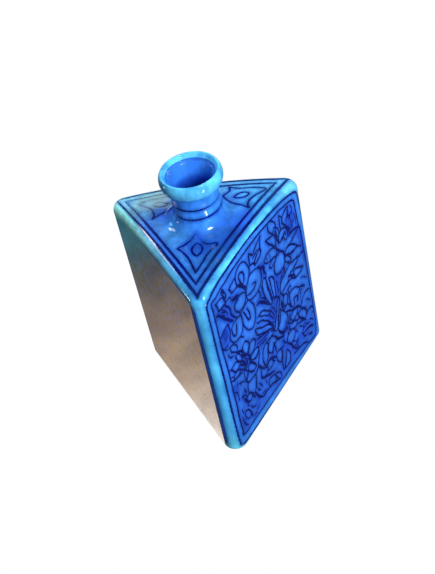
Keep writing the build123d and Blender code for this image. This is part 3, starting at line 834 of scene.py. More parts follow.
        [(8.4, 105.8), (11.6, 104.8), (15, 103.9)],
        [(3.8, 95.2), (6, 97), (9, 97.6), (12.2, 97.3), (14.6, 95.8), (17, 93)],
        [(11, 90.9), (14, 90), (17, 88.6)],
        [(23.6, 110), (23.2, 106.6), (23.2, 103), (23.4, 101.2)],
        [(24, 109.8), (26, 106.8), (25.5, 104.2), (27, 101.4), (29, 99)],
        [(26.2, 106.6), (28.6, 108.2), (31.6, 109.2), (33.2, 109)],
        [(32.6, 109.2), (32.2, 107), (31.6, 104.2), (33.2, 102.4)],
        [(19.8, 96.8), (20.6, 99), (22.6, 100.3), (25, 100.5), (27.6, 98.9), (29, 96.4), (29, 93.4)],
        [(23.2, 94), (25.4, 95.8), (26.6, 96.4), (27, 94.4)],
        [(22.6, 79.2), (24.6, 77), (27, 75.8), (28.4, 76)],
        [(25, 86), (28.6, 86), (32, 83.6), (35.6, 79.8), (38, 77)],
        [(25.8, 81.8), (28.4, 79.7), (31.6, 78.8), (35, 79.2)],
        [(20.4, 77), (20.2, 73.6), (21.2, 72.6)],
        [(24, 76), (27, 74.4), (30.4, 73), (33.8, 72.7)],
        [(25.4, 68.6), (28.8, 68.4), (32.6, 69.4), (34, 70.4)],
        [(30.8, 66.6), (34, 64.8), (38.6, 62.2)],
        [(-41, 60.8), (-39.8, 58), (-38.2, 55.6)],
        [(-40.4, 60.4), (-36, 60.9), (-34.2, 59.2), (-31.4, 56.6), (-29.6, 55)],
        [(-22, 60.2), (-19.4, 60.6), (-17.4, 59.2), (-16.6, 57), (-17.6, 55), (-19, 53.6)],
        [(-43.2, 53.4), (-40.6, 51.4), (-36, 50.4), (-32.6, 49.4)],
        [(-28.2, 45.6), (-26, 42.6), (-23.4, 40.6), (-20.6, 41.2)],
        [(-28.6, 45.4), (-30.4, 43), (-31.6, 41), (-30.4, 39), (-29, 38)],
        [(-22.4, 37), (-19.8, 38.4), (-18.6, 40.6)],
        [(-36, 32), (-34.6, 28), (-32.4, 24.6)],
        [(-34.4, 30.8), (-31.6, 31), (-29.4, 29), (-28.4, 26), (-27.4, 23)],
        [(-22.5, 36.4), (-23.2, 32.8), (-24.8, 28.6)],
        [(-41.2, 22), (-41, 18), (-39.6, 14), (-38, 12)],
        [(-24.4, 22.4), (-22.4, 18), (-19.6, 15.6), (-16, 15.5)],
        [(-13, 42.6), (-13.8, 38.6), (-13.2, 35), (-12.4, 33)],
        [(-13, 42.6), (-11.4, 45.4), (-8.6, 46.8), (-5, 46.6), (-1.6, 45.4), (0.6, 43.4)],
        [(-6.6, 44.6), (-7.8, 41), (-8.4, 37.6), (-9.4, 35)],
        [(-6, 32), (-5, 29), (-3, 27.4)],
        [(4.6, 28.6), (4.7, 25.6), (3, 21.6), (3, 17), (3.4, 13)],
        [(7.4, 33), (9, 29.4), (10.6, 28)],
        [(8.9, 22.6), (6.8, 18.4), (5, 14.6), (4.4, 12.6)],
        [(25.8, 36.6), (26.4, 33), (28.6, 29.8), (31.4, 26.4)],
        [(12.2, 25.2), (15, 21.6), (17, 16.6), (20, 14)],
        [(27, 20), (28.6, 16), (30, 13.8)],
    ],
    # stems and pooled strokes
    "heavy": [
        [(-2.2, 97.3), (0.2, 94.8), (3, 93.5)],
        [(31.1, 91.9), (33.8, 91.5), (36.5, 90.8), (38.8, 89.6), (40.7, 88.5)],
        [(23, 68.2), (24.9, 66.5), (27.2, 65), (28.8, 63.8)],
        [(13.8, 63.1), (14.9, 61.2), (16.5, 60)],
        [(12.4, 59), (12.2, 56.5), (12.8, 54), (13.8, 52.8)],
        [(31.1, 51.9), (34.2, 50.6), (35.7, 49.2), (36.8, 48.1)],
        [(14.5, 48.5), (17.2, 46.9), (19.5, 45), (21.8, 43.1), (24.9, 42.3), (27.2, 40.8), (29.5, 38.5),
         (30.7, 35.9), (32.6, 34.3), (34.2, 32), (34.9, 29.3), (35.1, 27.4)],
        [(8, 46.9), (6.5, 46.5), (5.3, 44.2), (6.1, 41.2), (7.6, 38.7), (9.5, 37), (11.8, 36.6)],
        [(0.3, 43.8), (1.5, 41.2), (3, 38.9), (4.9, 37.4), (7.6, 35.9), (9.5, 34.7)],
        [(-33.8, 65.8), (-31.5, 64.2), (-29.6, 62.3), (-29.6, 60), (-28.8, 58.1), (-26.9, 56.5),
         (-25, 55.4)],
        [(-18.4, 41.6), (-18.3, 38.5), (-17.3, 37), (-15.8, 34.7), (-14.2, 32.8), (-12.3, 32), (-10, 32.4),
         (-7.7, 33.2), (-5.4, 32), (-3.8, 30.5), (-1.5, 28.5)],
        [(-38.1, 34.3), (-35.8, 34.3)],
        [(-4.4, 34.6), (-3.6, 35.2)],
        [(-26.5, 26.2), (-25.4, 23.5), (-24.2, 20.5), (-23.1, 17.8)],
        [(-18.5, 30.1), (-17.3, 28.2), (-15.4, 26.6), (-13.1, 25.5), (-10.8, 23.9), (-8.5, 22.8),
         (-6.5, 22)],
        [(29.5, 17.4), (32.6, 17), (35.7, 16.2), (37.6, 15.1), (39.5, 13.5)],
        [(33.4, 11.6), (35.7, 10.5), (36.8, 9.3)],
        [(-42.3, 100.2), (-40, 98.8), (-38.5, 96.4), (-36.6, 93.4), (-34.6, 91), (-33, 88.6),
         (-30.6, 86)],
        [(8.4, 105.9), (10.3, 102.7), (12.2, 100), (14.2, 97.3), (16.1, 94.6), (17.6, 91.8), (19.6, 89),
         (21.6, 87), (22.9, 84), (22.6, 80.6)],
        [(31.2, 96), (30.8, 93.6), (30.6, 91.4)],
        [(-25, 49.6), (-23.1, 46.4), (-21.4, 44.2), (-20.4, 41.6)],
        [(-21.6, 47.6), (-19, 46.9), (-16.6, 47.8), (-15.4, 49)],
        [(-25, 55.4), (-24.4, 52.6), (-25, 49.6)],
    ],
    # spots where the colour pooled
    "pools": [
        [(-27.8, 97.8), (-25.4, 96.8), (-23.6, 95.8)],
        [(0.8, 94.2), (2.4, 92.4), (2.4, 89)],
        [(-31.4, 54.6), (-29, 53), (-27, 52.4)],
        [(-30, 51), (-27.4, 50.6)],
        [(12.4, 38.4), (13.4, 36.6)],
        [(-37.6, 34.6), (-36.2, 34)],
        [(-33.7, 109.2), (-33.2, 108)],
        [(33.6, 102.6), (32.8, 101)],
        [(0.8, 48.8), (1.8, 48)],
        [(12.6, 57.4), (12.8, 55.4)],
    ],
    # paler glaze without an outline
    "lights": [
        [(-38, 12.6), (-24, 11.6), (-8, 9.6), (6, 9), (20, 9.6), (34, 7.6), (38, 6.2), (20, 6.9), (0, 8.2),
         (-20, 9), (-40, 9.8)],
        [(3.4, 88.4), (6, 86.4), (8.6, 84), (8.4, 82.4), (5.4, 84), (3.4, 86)],
        [(22, 59.4), (30, 58.6), (38, 53.6), (41, 49), (41, 53), (36, 58.6), (28, 60.6)],
    ],
    # dark washes behind the flowers
    "washes": [
        [(-34, 56), (-30, 58), (-26, 56.4), (-24.4, 53), (-25, 49.6), (-29, 48.6), (-33, 50),
         (-34.2, 53)],
        [(-8.4, 78), (-4, 79), (-1.6, 76), (-1, 71.6), (-3.6, 72), (-6.4, 74.6)],
        [(4.8, 66), (8, 67.4), (11.4, 65.4), (11.6, 61.8), (9.8, 63.6), (7.6, 61.2), (5.4, 60.4),
         (4.2, 63)],
        [(9.6, 39.8), (12, 41), (14.4, 40.4), (15.4, 37.4), (14.2, 34.6), (11.6, 36), (9.4, 37.6)],
        [(-43.2, 48), (-40.4, 47.4), (-39.4, 43), (-41, 40.4), (-43.2, 41)],
        [(-27.4, 19.6), (-24.2, 19), (-23.4, 15.6), (-24.4, 12.6), (-27, 13.4)],
        [(21, 19.6), (24, 21), (27.6, 19.6), (28.2, 16.6), (26, 14.6), (22.6, 14.8), (21, 16.8)],
        [(28.6, 99), (31, 104), (35.4, 103.4), (36.4, 98), (34.4, 93.6), (30.4, 91.6), (28.6, 94)],
        [(36.6, 90.4), (40.6, 89.4), (41.4, 80), (41.6, 66), (40.4, 66), (39.4, 76), (37.8, 86)],
        [(-37.6, 36), (-34.4, 36.6), (-33, 33), (-34.2, 27), (-36.4, 28), (-37.4, 32)],
        [(-15, 56), (-8, 55), (-3, 51.4), (-6, 49.8), (-12, 50), (-15.6, 52.6)],
        [(13.4, 77.6), (19, 77.2), (20.6, 74.6), (18, 73.6), (13, 72), (12, 75)],
        [(30, 24.6), (33.4, 24), (33, 20.6), (29.6, 20)],
        [(-1.6, 96.6), (2.4, 95.4), (3.2, 93), (1.4, 89), (-0.6, 89.4), (-0.6, 93)],
        [(-29, 99), (-26, 98.6), (-22.4, 97.4), (-22.2, 95), (-24.4, 93.8), (-27.4, 95.4)],
        [(11, 79), (15, 77), (19.4, 77), (20, 74), (16, 72.6), (13.6, 70), (12.6, 66), (11.2, 66),
         (11, 72)],
        [(0.4, 63), (4, 65.4), (5, 60), (6.4, 56), (4, 52), (1, 54), (-2, 58.4)],
        [(-43.2, 98.6), (-40, 97.6), (-36, 91), (-33, 87), (-31, 86), (-29, 88), (-31.4, 94), (-33.6, 99.6),
         (-38, 100.4)],
        [(-43, 84), (-38, 87), (-35.4, 86.6), (-35.6, 80), (-38, 76.6), (-42.6, 77.4)],
        [(28.8, 98), (31.6, 97), (33, 93), (30.4, 90.6), (29, 93)],
        [(-5, 34.6), (-2, 38), (-0.8, 34), (-3.6, 31), (-7.6, 33.2)],
        [(4.8, 32.6), (8, 33.4), (10, 30), (11, 24), (8.6, 23.4), (5.2, 26.4)],
        [(12.6, 24), (14.8, 23), (17, 17), (19, 14.6), (16.4, 14.6), (13.4, 17.6)],
    ],
}


def panelStrokes(mirror):
    def put(points):
        # the hidden left panel is taken as the other hand, and a little smaller
        if not mirror:
            return points
        return [(-panel["mirrorAcross"] * x, panel["mirrorFoot"] + panel["mirrorUp"] * y) for x, y in points]

    frameWidth = panel["mirrorFrame"] * panel["frameWidth"] if mirror else panel["frameWidth"]
    strokes = [(put(panel["outer"]), frameWidth, True), (put(panel["inner"]), panel["innerWidth"], True)]
    strokes += [(put(points), panel["petalWidth"], True) for points in panel["petals"]]
    loads = {"lines": "lineWidth", "thick": "thickWidth", "heavy": "heavyWidth", "pools": "poolWidth"}
    for name, width in loads.items():
        strokes += [(put(points), panel[width], False) for points in panel[name]]
    fills = {
        "margin": ([put(panel["outer"])], brush["soft"]),
        "field": ([put(panel["inner"])], brush["soft"]),
        "petal": ([put(points) for points in panel["petals"] + panel["lights"]], panel["petalSoft"]),
        "wash": ([put(points) for points in panel["washes"]], panel["washSoft"]),
    }
    return strokes, fills


# Glaze: turquoise over the edges, cobalt washes, paler petals and dark brush lines under one clear shine

noiseSpan = (0.3, 0.7)           # where most of a noise lies


def srgb(red, green, blue):
    shares = [channel / 255 for channel in (red, green, blue)]
    linear = [c / 12.92 if c <= 0.04 else ((c + 0.055) / 1.055) ** 2.4 for c in shares]
    return (*linear, 1.0)


def makeGlaze(name, look):
    material = bpy.data.materials.new(name)
    material.use_nodes = True
    tree = material.node_tree
    shader = tree.nodes["Principled BSDF"]
    place = addNode(tree, "ShaderNodeTexCoord").outputs["Object"]

    def field(attribute):
        return addNode(tree, "ShaderNodeAttribute", {"attribute_name": attribute}).outputs["Fac"]

    def spread(noise, low, high):
        return rangeNode(tree, noise, *noiseSpan, low, high)

    def product(first, second):
        return mathNode(tree, "MULTIPLY", first, second)

    cloud = noiseNode(tree, place, look["cloud"], detail=4.0)
    speck = noiseNode(tree, place, look["speck"], detail=3.0)
    mottle = noiseNode(tree, place, look["mottle"], detail=6.0)
    drawnOut = addNode(tree, "ShaderNodeMapping", values={"Vector": place, "Scale": look["drawnOut"]})
    streak = noiseNode(tree, drawnOut.outputs[0], look["streak"], detail=2.0)

    deep = rangeNode(tree, cloud, *look["deepSpan"], 0.0, 1.0)
    colour = mixColour(tree, deep, look["edge"], look["edgeDeep"])
    # painted light: the edge colour is lit paler towards the corners
    for aim, near, far, share, tint in look["litPaleCorners"]:
        reach = rangeNode(tree, dotNode(tree, place, aim), near * mm, far * mm, 0.0, share, True)
        colour = mixColour(tree, reach, colour, tint)
    rim = colour
    colour = mixColour(tree, field("margin"), colour, look["margin"])
    cobalt = product(field("field"), spread(streak, *look["fieldCover"]))
    colour = mixColour(tree, cobalt, colour, look["field"])
    colour = mixColour(tree, look["thin"], colour, rim)
    petal = product(field("petal"), rangeNode(tree, streak, *look["petalSpan"], *look["petalCover"]))
    colour = mixColour(tree, petal, colour, look["petal"])
    # the wash field holds the cobalt washes, and also painted shade beside the neck and down the bore
    wash = product(field("wash"), spread(streak, *look["washCover"]))
    colour = mixColour(tree, wash, colour, look["bleed"])
    # the ink field also darkens the bore, as painted shade
    ink = mathNode(tree, "ADD", field("ink"), spread(speck, -look["inkRag"], look["inkRag"]))
    bleed = rangeNode(tree, ink, 0.0, look["haloWidth"], look["halo"], 0.0, True)
    colour = mixColour(tree, bleed, colour, look["bleed"])
    line = product(rangeNode(tree, ink, *look["inkEdge"], 1.0, 0.0, True), spread(cloud, *look["inkCover"]))
    colour = mixColour(tree, line, colour, look["ink"])
    cloudy = [1.0 + share * look["blotch"] for share in look["cloudShades"]]
    streaky = [1.0 + share * look["blotch"] for share in look["streakShades"]]
    shade = product(rangeNode(tree, cloud, *look["cloudSpan"], *cloudy), spread(streak, *streaky))
    colour = mixColour(tree, 1.0, colour, greyNode(tree, shade), "MULTIPLY")
    cells = addNode(tree, "ShaderNodeTexVoronoi", values={"Vector": place, "Scale": look["pits"]})
    pit = rangeNode(tree, cells.outputs["Distance"], *look["pitSize"], look["pitDark"], 0.0)
    colour = mixColour(tree, pit, colour, look["bleed"])

    grain = spread(speck, -look["grain"], look["grain"])
    shine = mathNode(tree, "ADD", spread(mottle, *look["shine"]), grain)
    relief = mathNode(tree, "SUBTRACT", product(speck, look["speckRelief"]), pit)
    values = {"Strength": look["bump"], "Distance": look["bumpDepth"] * mm, "Height": relief}
    bump = addNode(tree, "ShaderNodeBump", values=values).outputs[0]
    shader.inputs["IOR"].default_value = look["refraction"]
    tree.links.new(colour, shader.inputs["Base Color"])
    tree.links.new(spread(speck, look["gloss"], look["dull"]), shader.inputs["Roughness"])
    tree.links.new(shine, shader.inputs["Specular IOR Level"])
    tree.links.new(bump, shader.inputs["Normal"])
    return material


glaze = {
    "edge": srgb(88, 196, 255),
    "edgeDeep": srgb(68, 174, 246),
    "margin": srgb(58, 138, 234),
    "field": srgb(47, 112, 224),
    "petal": srgb(53, 124, 234),
    "bleed": srgb(16, 54, 182),
    "ink": srgb(0, 5, 84),
    # painted light: the glaze is lit paler towards the corners, most at the left corner and low on the front
    # corner: direction, from and to, share, tint
    "litPaleCorners": [
        ((-0.8, 0.6, 0.0), -26.0, 42.0, 0.95, srgb(156, 240, 238)),
        ((0.75, 0.66, 0.0), 26.0, 46.0, 0.35, srgb(140, 226, 250)),
        ((0.0, -0.8, -0.6), 34.0, 45.0, 0.8, srgb(112, 228, 255)),
    ],
    "thin": 0.0,                                 # share of the edge colour that shows through the washes
    "fieldCover": (0.8, 1.0),                    # cover of each wash, across its streaks
    "petalCover": (1.0, 0.6), "petalSpan": (0.3, 0.75),
    "washCover": (0.75, 0.5),
    "inkCover": (1.0, 0.82),
    "inkEdge": (-0.14, 0.2), "inkRag": 0.16,     # soft, ragged edge of a line, millimetres
    "halo": 0.5, "haloWidth": 2.2,               # cobalt bled out beside a line
    "darkenHeight": 62.0, "darkenShare": 0.75,       # the panel is washed darker towards the foot
    "cloud": 70.0, "mottle": 180.0, "speck": 900.0, "streak": 260.0, "pits": 260.0,      # scales
    "drawnOut": (1.0, 1.0, 0.3),                 # the streaks run up and down
    "deepSpan": (0.35, 0.7), "cloudSpan": (0.3, 0.72),
    "blotch": 0.17, "cloudShades": (0.8, -1.2), "streakShades": (0.9, -1.0),
    "pitSize": (0.03, 0.09), "pitDark": 0.35,
    "gloss": 0.06, "dull": 0.13, "shine": (0.4, 0.58), "grain": 0.06, "refraction": 1.5,
    "bump": 0.25, "bumpDepth": 0.06, "speckRelief": 0.5,
}
# the left wall's glaze: its lines painted close to the ground colour, a painted stand-in for the mirrored
# table's glare that hides them
faintPaint = {
    "margin": srgb(40, 108, 242), "field": srgb(37, 103, 236), "petal": srgb(45, 117, 250),
    "bleed": srgb(28, 84, 216), "ink": srgb(17, 58, 142), "halo": 0.3, "pitDark": 0.1,
    "gloss": 0.02, "dull": 0.04, "bump": 0.16, "shine": (0.3, 0.68), "grain": 0.16,
}
upperBlue = {
    "margin": srgb(47, 112, 190), "field": srgb(47, 113, 189), "petal": srgb(43, 105, 180),
    "thin": 0.05, "blotch": 0.22, "bump": 0.12,
}
lipBlue = {
    "edge": srgb(93, 196, 250), "edgeDeep": srgb(69, 170, 240),
    "cloud": 130.0, "litPaleCorners": [], "bump": 0.12,
}
deepBlue = srgb(45, 113, 208)
neckBlue = srgb(54, 136, 244)
bareClay = srgb(206, 190, 162)
innerBlue = {"edge": srgb(28, 84, 190), "edgeDeep": srgb(18, 62, 168)}
panelGlaze = makeGlaze("panelGlaze", glaze)
faintGlaze = makeGlaze("faintGlaze", {**glaze, **faintPaint})
shoulderGlaze = makeGlaze("shoulderGlaze", {**glaze, **upperBlue})
neckGlaze = makeGlaze("neckGlaze", {**glaze, **upperBlue, "margin": neckBlue, "petal": deepBlue})
lipGlaze = makeGlaze("lipGlaze", {**glaze, **lipBlue, "petal": deepBlue})
footGlaze = makeGlaze("footGlaze", {**glaze, "field": bareClay, "petal": bareClay})
innerGlaze = makeGlaze("innerGlaze", {**glaze, **innerBlue})
print("glazes mixed")


noInk = 9.0                      # far from any line
plain = {"ink": noInk, "margin": 0.0, "field": 0.0, "petal": 0.0, "wash": 0.0}


def paintFields(mesh, given):
    for name, value in plain.items():
        if name in mesh.attributes:
            mesh.attributes.remove(mesh.attributes[name])
        writeField(mesh, name, given.get(name, np.full(len(mesh.vertices), value)))


def withHidden(paint, count, coat):
    # the painted skin, and one plain coat on the points that stay hidden
    coat = {**plain, **coat}
    return {name: np.concatenate([paint[name], np.full(count, value)]) for name, value in coat.items()}


def slabPiece(name, sheets, faces, flatFrom, lift, paint):
    # the first sheet is the skin, which the hand has worked; the others are hidden
    points = np.concatenate([sheet.reshape(-1, 3) for sheet in sheets])
    still = np.zeros((len(points) - lift.size // 3, 3))
    mesh = makeMesh(name, points, faces, flatFrom)
    writeField(mesh, "lift", np.concatenate([lift.reshape(-1, 3), still]))
    paintFields(mesh, paint)
    return linkPiece(name, mesh)


def finishPiece(piece, material, slotName, *nodes, depth=hand["depth"], press=hand["press"]):
    useTree(piece, handTree, {"Material": material, "Depth": depth * mm, "Press": press * mm})
    settle(piece)
    piece.data.attributes.remove(piece.data.attributes["lift"])
    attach(piece, "root")
    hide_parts(*nodes)
    print(piece.name, len(piece.data.polygons), "faces")


# Walls

jointBend = 45.0                 # the walls end half way round the roundings of foot and rim
columnsShare, columnsTurn = wallColumns()
columnCells = columnsShare.shape[1] - 1
cornerLength = body["cornerRadius"] - body["cornerPaint"]
footPhi = bentRow(-jointBend, 0.0, body["footCells"])
rimPhi = bentRow(jointBend, 0.0, body["rimCells"])[::-1]
climbs = np.linspace(0.0, 1.0, body["uprightCells"] + 1)[1:-1, None]


def makeWall(side, mirror):
    angle = wallAngles[side]
    share, turn = columnsShare, columnsTurn
    foot, footUp = footPoints(angle, share, turn, footPhi)
    upright, uprightUp = uprightPoints(angle, share, turn, climbs)
    rim, rimUp = rimPoints(angle, share, turn, rimPhi)
    skin = np.concatenate([foot, upright, rim])
    lift = liftPoints(angle, turn, np.concatenate([footPhi, 0.0 * climbs, rimPhi]))
    up = np.concatenate([footUp, uprightUp, rimUp])
    along = np.broadcast_to(share * coreHalf + cornerLength * turn, up.shape)
    sheet = np.stack([along, up, 0.0 * up], -1).reshape(-1, 3)
    faces = gridFaces(0, skin.shape[0] - 1, columnCells)
    paint = paintSheet(sheet, faces, *panelStrokes(mirror))
    low = np.clip(1 - sheet[:, 1] / glaze["darkenHeight"], 0, 1)
    paint["wash"] = np.maximum(paint["wash"], glaze["darkenShare"] * low * paint["field"])
    inside = wallInside(angle)
    outer = np.arange(skin.size // 3).reshape(skin.shape[:2])
    inner = outer.size + np.arange(inside.size // 3).reshape(inside.shape[:2])
    faces += gridFaces(outer.size, inner.shape[0] - 1, inner.shape[1] - 1, flip=True)
    flatFrom = len(faces)
    for pick in (np.s_[0, :], np.s_[-1, ::-1], np.s_[::-1, 0], np.s_[:, -1]):
        faces += stripFaces(outer[pick].tolist(), inner[pick].tolist())
    paint = withHidden(paint, inner.size, {"field": 1.0})
    piece = slabPiece("glazed_wall_" + side, [skin, inside], faces, flatFrom, lift, paint)
    if mirror:
        finishPiece(piece, faintGlaze, "panel_glaze", "wall_" + side, depth=hand["flatDepth"], press=0.0)
    else:
        finishPiece(piece, panelGlaze, "panel_glaze", "wall_" + side)


for side, mirror in (("right", False), ("back", False), ("left", True)):
    makeWall(side, mirror)


# Shoulder: frame lines beside each edge and a four-pointed ornament in each corner

shoulderPaint = {
    "outerLine": {"right": 25.7, "back": 26.5, "left": 27.0},    # neck axis to each line
    "innerLine": {"right": 21.7, "back": 22.9, "left": 24.0},
    "outerWidth": 0.82,
    "innerWidth": 0.68,
    "starWidth": 0.54,
    "lineShares": (-0.005, 0.1, 0.5, 0.9, 1.005),                # places from corner to corner
    "fillShares": (0.0, 0.08, 0.36, 0.64, 0.92),
    "soft": 1.0,
    "frontStar": [(-1.4, -15), (-4.2, -17.4), (-7.5, -20.25), (-10.6, -21.8), (-8.75, -24), (-5, -29.6),
                  (-1.9, -37.75), (-1.3, -38.4), (1.6, -33.4), (4.75, -27.1), (8.8, -22.4), (7.9, -20.9),
                  (3.5, -20.9), (0.8, -17.8)],
    "frontRing": [(-0.9, -28.3), (1.2, -26.2), (1.7, -24.2), (1.2, -22), (-0.9, -20.1), (-3, -22),
                  (-3.5, -24.2), (-3, -26.2)],
    "rightStar": [(14.75, 21), (14.75, 17.9), (11.9, 14.4), (12.9, 11), (16, 7.6), (21, 5.4), (24.75, 2.9),
                  (24.1, 5.4), (25, 9.1), (27.9, 12.9), (33.5, 17.9), (27.25, 19.6), (19.75, 19.6),
                  (16, 20.7)],
    "rightRing": [(24.76, 14.87), (22.5, 15.9), (20.3, 15.4), (18, 13.7), (17.2, 12.1), (19, 11.4),
                  (21.7, 11.6), (24, 13)],
    # cobalt washed on more thickly
    "washes": [
        [(10, -10), (17, -4), (23, 0), (25, -5), (20, -15), (13, -23), (8, -19)],
        [(-4, -17.5), (2, -16.5), (6, -22), (0, -25), (-6, -21)],
    ],
    "washShare": 0.75,
    "washSoft": 5.0,
    "shadeSpot": (-15.5, 4.0), "shadeReach": 9.0, "shadeShare": 0.9,     # painted shade left of the neck, laid into the wash
    "fadeSpot": (0.9, -15.4), "fadeReach": 6.5, "fadeWear": 0.5,         # the front star is rubbed there
    "spotEdge": 1.3,                                             # a spot ends at this many reaches
    # painted glare and light on the back sides: the blues give way to the paler edge colour and the lines
    # fade; direction, from and to, share that is lost, and fading of the lines
    "glareSides": [((0.75, 0.66), 9.0, 30.0, 0.84, 0.0), ((-0.8, 0.6), 20.0, 38.0, 0.62, 0.42)],
}


def meetLines(distances, *pair):
    rows = np.array([wallAxes(wallAngles[side])[0] for side in pair])
    return np.linalg.solve(rows, [distances[side] for side in pair])


def lineSides(distances, shares):
    pairs = (("left", "right"), ("right", "back"), ("back", "left"))
    corners = [meetLines(distances, *pair) for pair in pairs]
    ends = corners[1:] + corners[:1]
    return [[tuple(start + (end - start) * share) for share in shares] for start, end in zip(corners, ends)]


def threeCorners(kind):
    right = shoulderPaint["right" + kind]
    return [shoulderPaint["front" + kind], right, [(-x, y) for x, y in right]]


def spotShare(points, name):
    x, y = shoulderPaint[name + "Spot"]
    gap = np.hypot(points[:, 0] - x, points[:, 1] - y)
    return np.clip(shoulderPaint["spotEdge"] - gap / shoulderPaint[name + "Reach"], 0, 1)


stars = threeCorners("Star")
starStrokes = [(points, shoulderPaint["starWidth"], True) for points in stars + threeCorners("Ring")]
shoulderWash = (shoulderPaint["washes"], shoulderPaint["washSoft"])


def paintShoulder(points, faces):
    strokes, fills = [], {}
    for name, fill in (("outer", "margin"), ("inner", "field")):
        distances, width = shoulderPaint[name + "Line"], shoulderPaint[name + "Width"]
        strokes += [(side, width, False) for side in lineSides(distances, shoulderPaint["lineShares"])]
        fills[fill] = ([sum(lineSides(distances, shoulderPaint["fillShares"]), [])], shoulderPaint["soft"])
    fills["petal"] = (stars, shoulderPaint["soft"])
    fills["wash"] = shoulderWash
    paint = paintSheet(points, faces, strokes + starStrokes, fills)
    paint["wash"] *= shoulderPaint["washShare"]
    # painted shade beside the neck, added to the wash
    paint["wash"] += shoulderPaint["shadeShare"] * spotShare(points, "shade")
    paint["ink"] += shoulderPaint["fadeWear"] * spotShare(points, "fade")
    # painted glare and light: the blues thin out and the lines fade towards the back sides
    for aim, near, far, share, fading in shoulderPaint["glareSides"]:
        reach = np.clip((points[:, :2] @ np.array(aim) - near) / (far - near), 0, 1)
        for name in ("margin", "field", "petal"):
            paint[name] *= 1 - share * reach
        paint["ink"] += fading * reach
    return paint


ringShare, ringTurn = columnsShare[:, :-1], columnsTurn[:, :-1]


def aroundWalls(make):
    # what is made for each wall, side by side in one ring
    return np.concatenate([make(angle) for angle in wallAngles.values()], -2)


def makeShoulder():
    bend = bentRow(jointBend, 90.0, body["rimCells"])
    along = (ringShare * coreHalf + cornerLength * ringTurn) / (coreHalf + cornerLength * math.pi / 3)

    def seamPoints(angle):
        target = np.radians(angle + 60.0 * along[0])
        return body["seamRadius"] * np.stack([np.cos(target), np.sin(target)], -1)

    rim = aroundWalls(lambda angle: rimPoints(angle, ringShare, ringTurn, bend)[0])
    rimLift = aroundWalls(lambda angle: liftPoints(angle, ringTurn, bend))
    edge = aroundWalls(lambda angle: wallInside(angle)[-1, :-1, :2])
    seam = aroundWalls(seamPoints)
    shares = np.append(np.linspace(0.0, body["seamGuard"], body["domeCells"])[1:], 1.0)[:, None, None]
    plan = rim[-1, :, :2] * (1 - shares) + seam * shares
    dome = withHeight(plan, domeHeight(plan))
    skin = np.concatenate([rim, dome])
    lift = np.concatenate([rimLift, np.broadcast_to([0.0, 0.0, 1.0], dome.shape)])
    rows, count = skin.shape[:2]
    faces = gridFaces(0, rows - 1, count, ring=True)
    paint = paintShoulder(skin.reshape(-1, 3), faces)
    shares = np.linspace(0.0, 1.0, body["underCells"] + 1)[:, None, None]
    plan = edge * (1 - shares) + seam[::body["coarse"]] * shares
    under = withHeight(plan, domeHeight(plan) - body["shoulder"])
    underRows, underCount = under.shape[:2]
    first = rows * count
    faces += gridFaces(first, underRows - 1, underCount, flip=True, ring=True)
    flatFrom = len(faces)
    faces += stripFaces(ringFrom(0, count), ringFrom(first, underCount))
    lastOuter = ringFrom((rows - 1) * count, count)
    lastUnder = ringFrom(first + (underRows - 1) * underCount, underCount)
    faces += stripFaces(lastOuter[::-1], lastUnder[::-1])
    paint = withHidden(paint, underRows * underCount, {"margin": 1.0, "field": 1.0})
    piece = slabPiece("glazed_shoulder", [skin, under], faces, flatFrom, lift, paint)
    finishPiece(piece, shoulderGlaze, "shoulder_glaze", "shoulder_slab")


makeShoulder()


# Foot: glazed edge, bare clay underneath, glazed floor of the hollow

underside = {
    "rings": 14,             # of points, on the bare clay and on the floor
    "middle": 0.06,          # share of the outline that the last ring keeps
    "bareEdge": 4.0,         # the bare clay starts this far inside the outline
}


def makeFoot():
    bend = bentRow(-jointBend, -90.0, body["footCells"])
    rings = underside["rings"]
    inset = body["cornerRadius"] - underside["bareEdge"] + 0.0 * ringShare[0]
    skin = aroundWalls(lambda angle: footPoints(angle, ringShare, ringTurn, bend)[0])
    lift = aroundWalls(lambda angle: liftPoints(angle, ringTurn, bend))
    floorEdge = aroundWalls(lambda angle: wallInside(angle)[0, :-1, :2])
    bareEdge = aroundWalls(lambda angle: planPoint(angle, ringShare[0], ringTurn[0], inset)[::body["coarse"]])
    rows, count = skin.shape[:2]
    coarse = len(floorEdge)
    shares = np.linspace(1.0, underside["middle"], rings)[:, None, None]
    level = np.zeros((rings, coarse))
    bare = withHeight(bareEdge * shares, level)
    floor = withHeight(floorEdge * shares, level + body["floor"])
    firstBare = rows * count
    firstFloor = firstBare + level.size
    last = (rings - 1) * coarse
    faces = gridFaces(0, rows - 1, count, flip=True, ring=True)
    faces += gridFaces(firstBare, rings - 1, coarse, flip=True, ring=True)
    faces += gridFaces(firstFloor, rings - 1, coarse, ring=True)
    faces.append(tuple(range(firstBare + last, firstFloor))[::-1])
    faces.append(tuple(range(firstFloor + last, firstFloor + level.size)))
    faces += stripFaces(ringFrom((rows - 1) * count, count), ringFrom(firstBare, coarse))
    flatFrom = len(faces)
    faces += [face[::-1] for face in stripFaces(ringFrom(0, count), ringFrom(firstFloor, coarse))]
    clay = np.concatenate([np.zeros(firstBare), np.ones(level.size), np.zeros(level.size)])
    paint = {"field": clay, "petal": clay}
    piece = slabPiece("glazed_foot", [skin, bare, floor], faces, flatFrom, lift, paint)
    finishPiece(piece, footGlaze, "foot_glaze", "base_slab", depth=hand["footDepth"])


makeFoot()


# Neck and lip, turned on the wheel

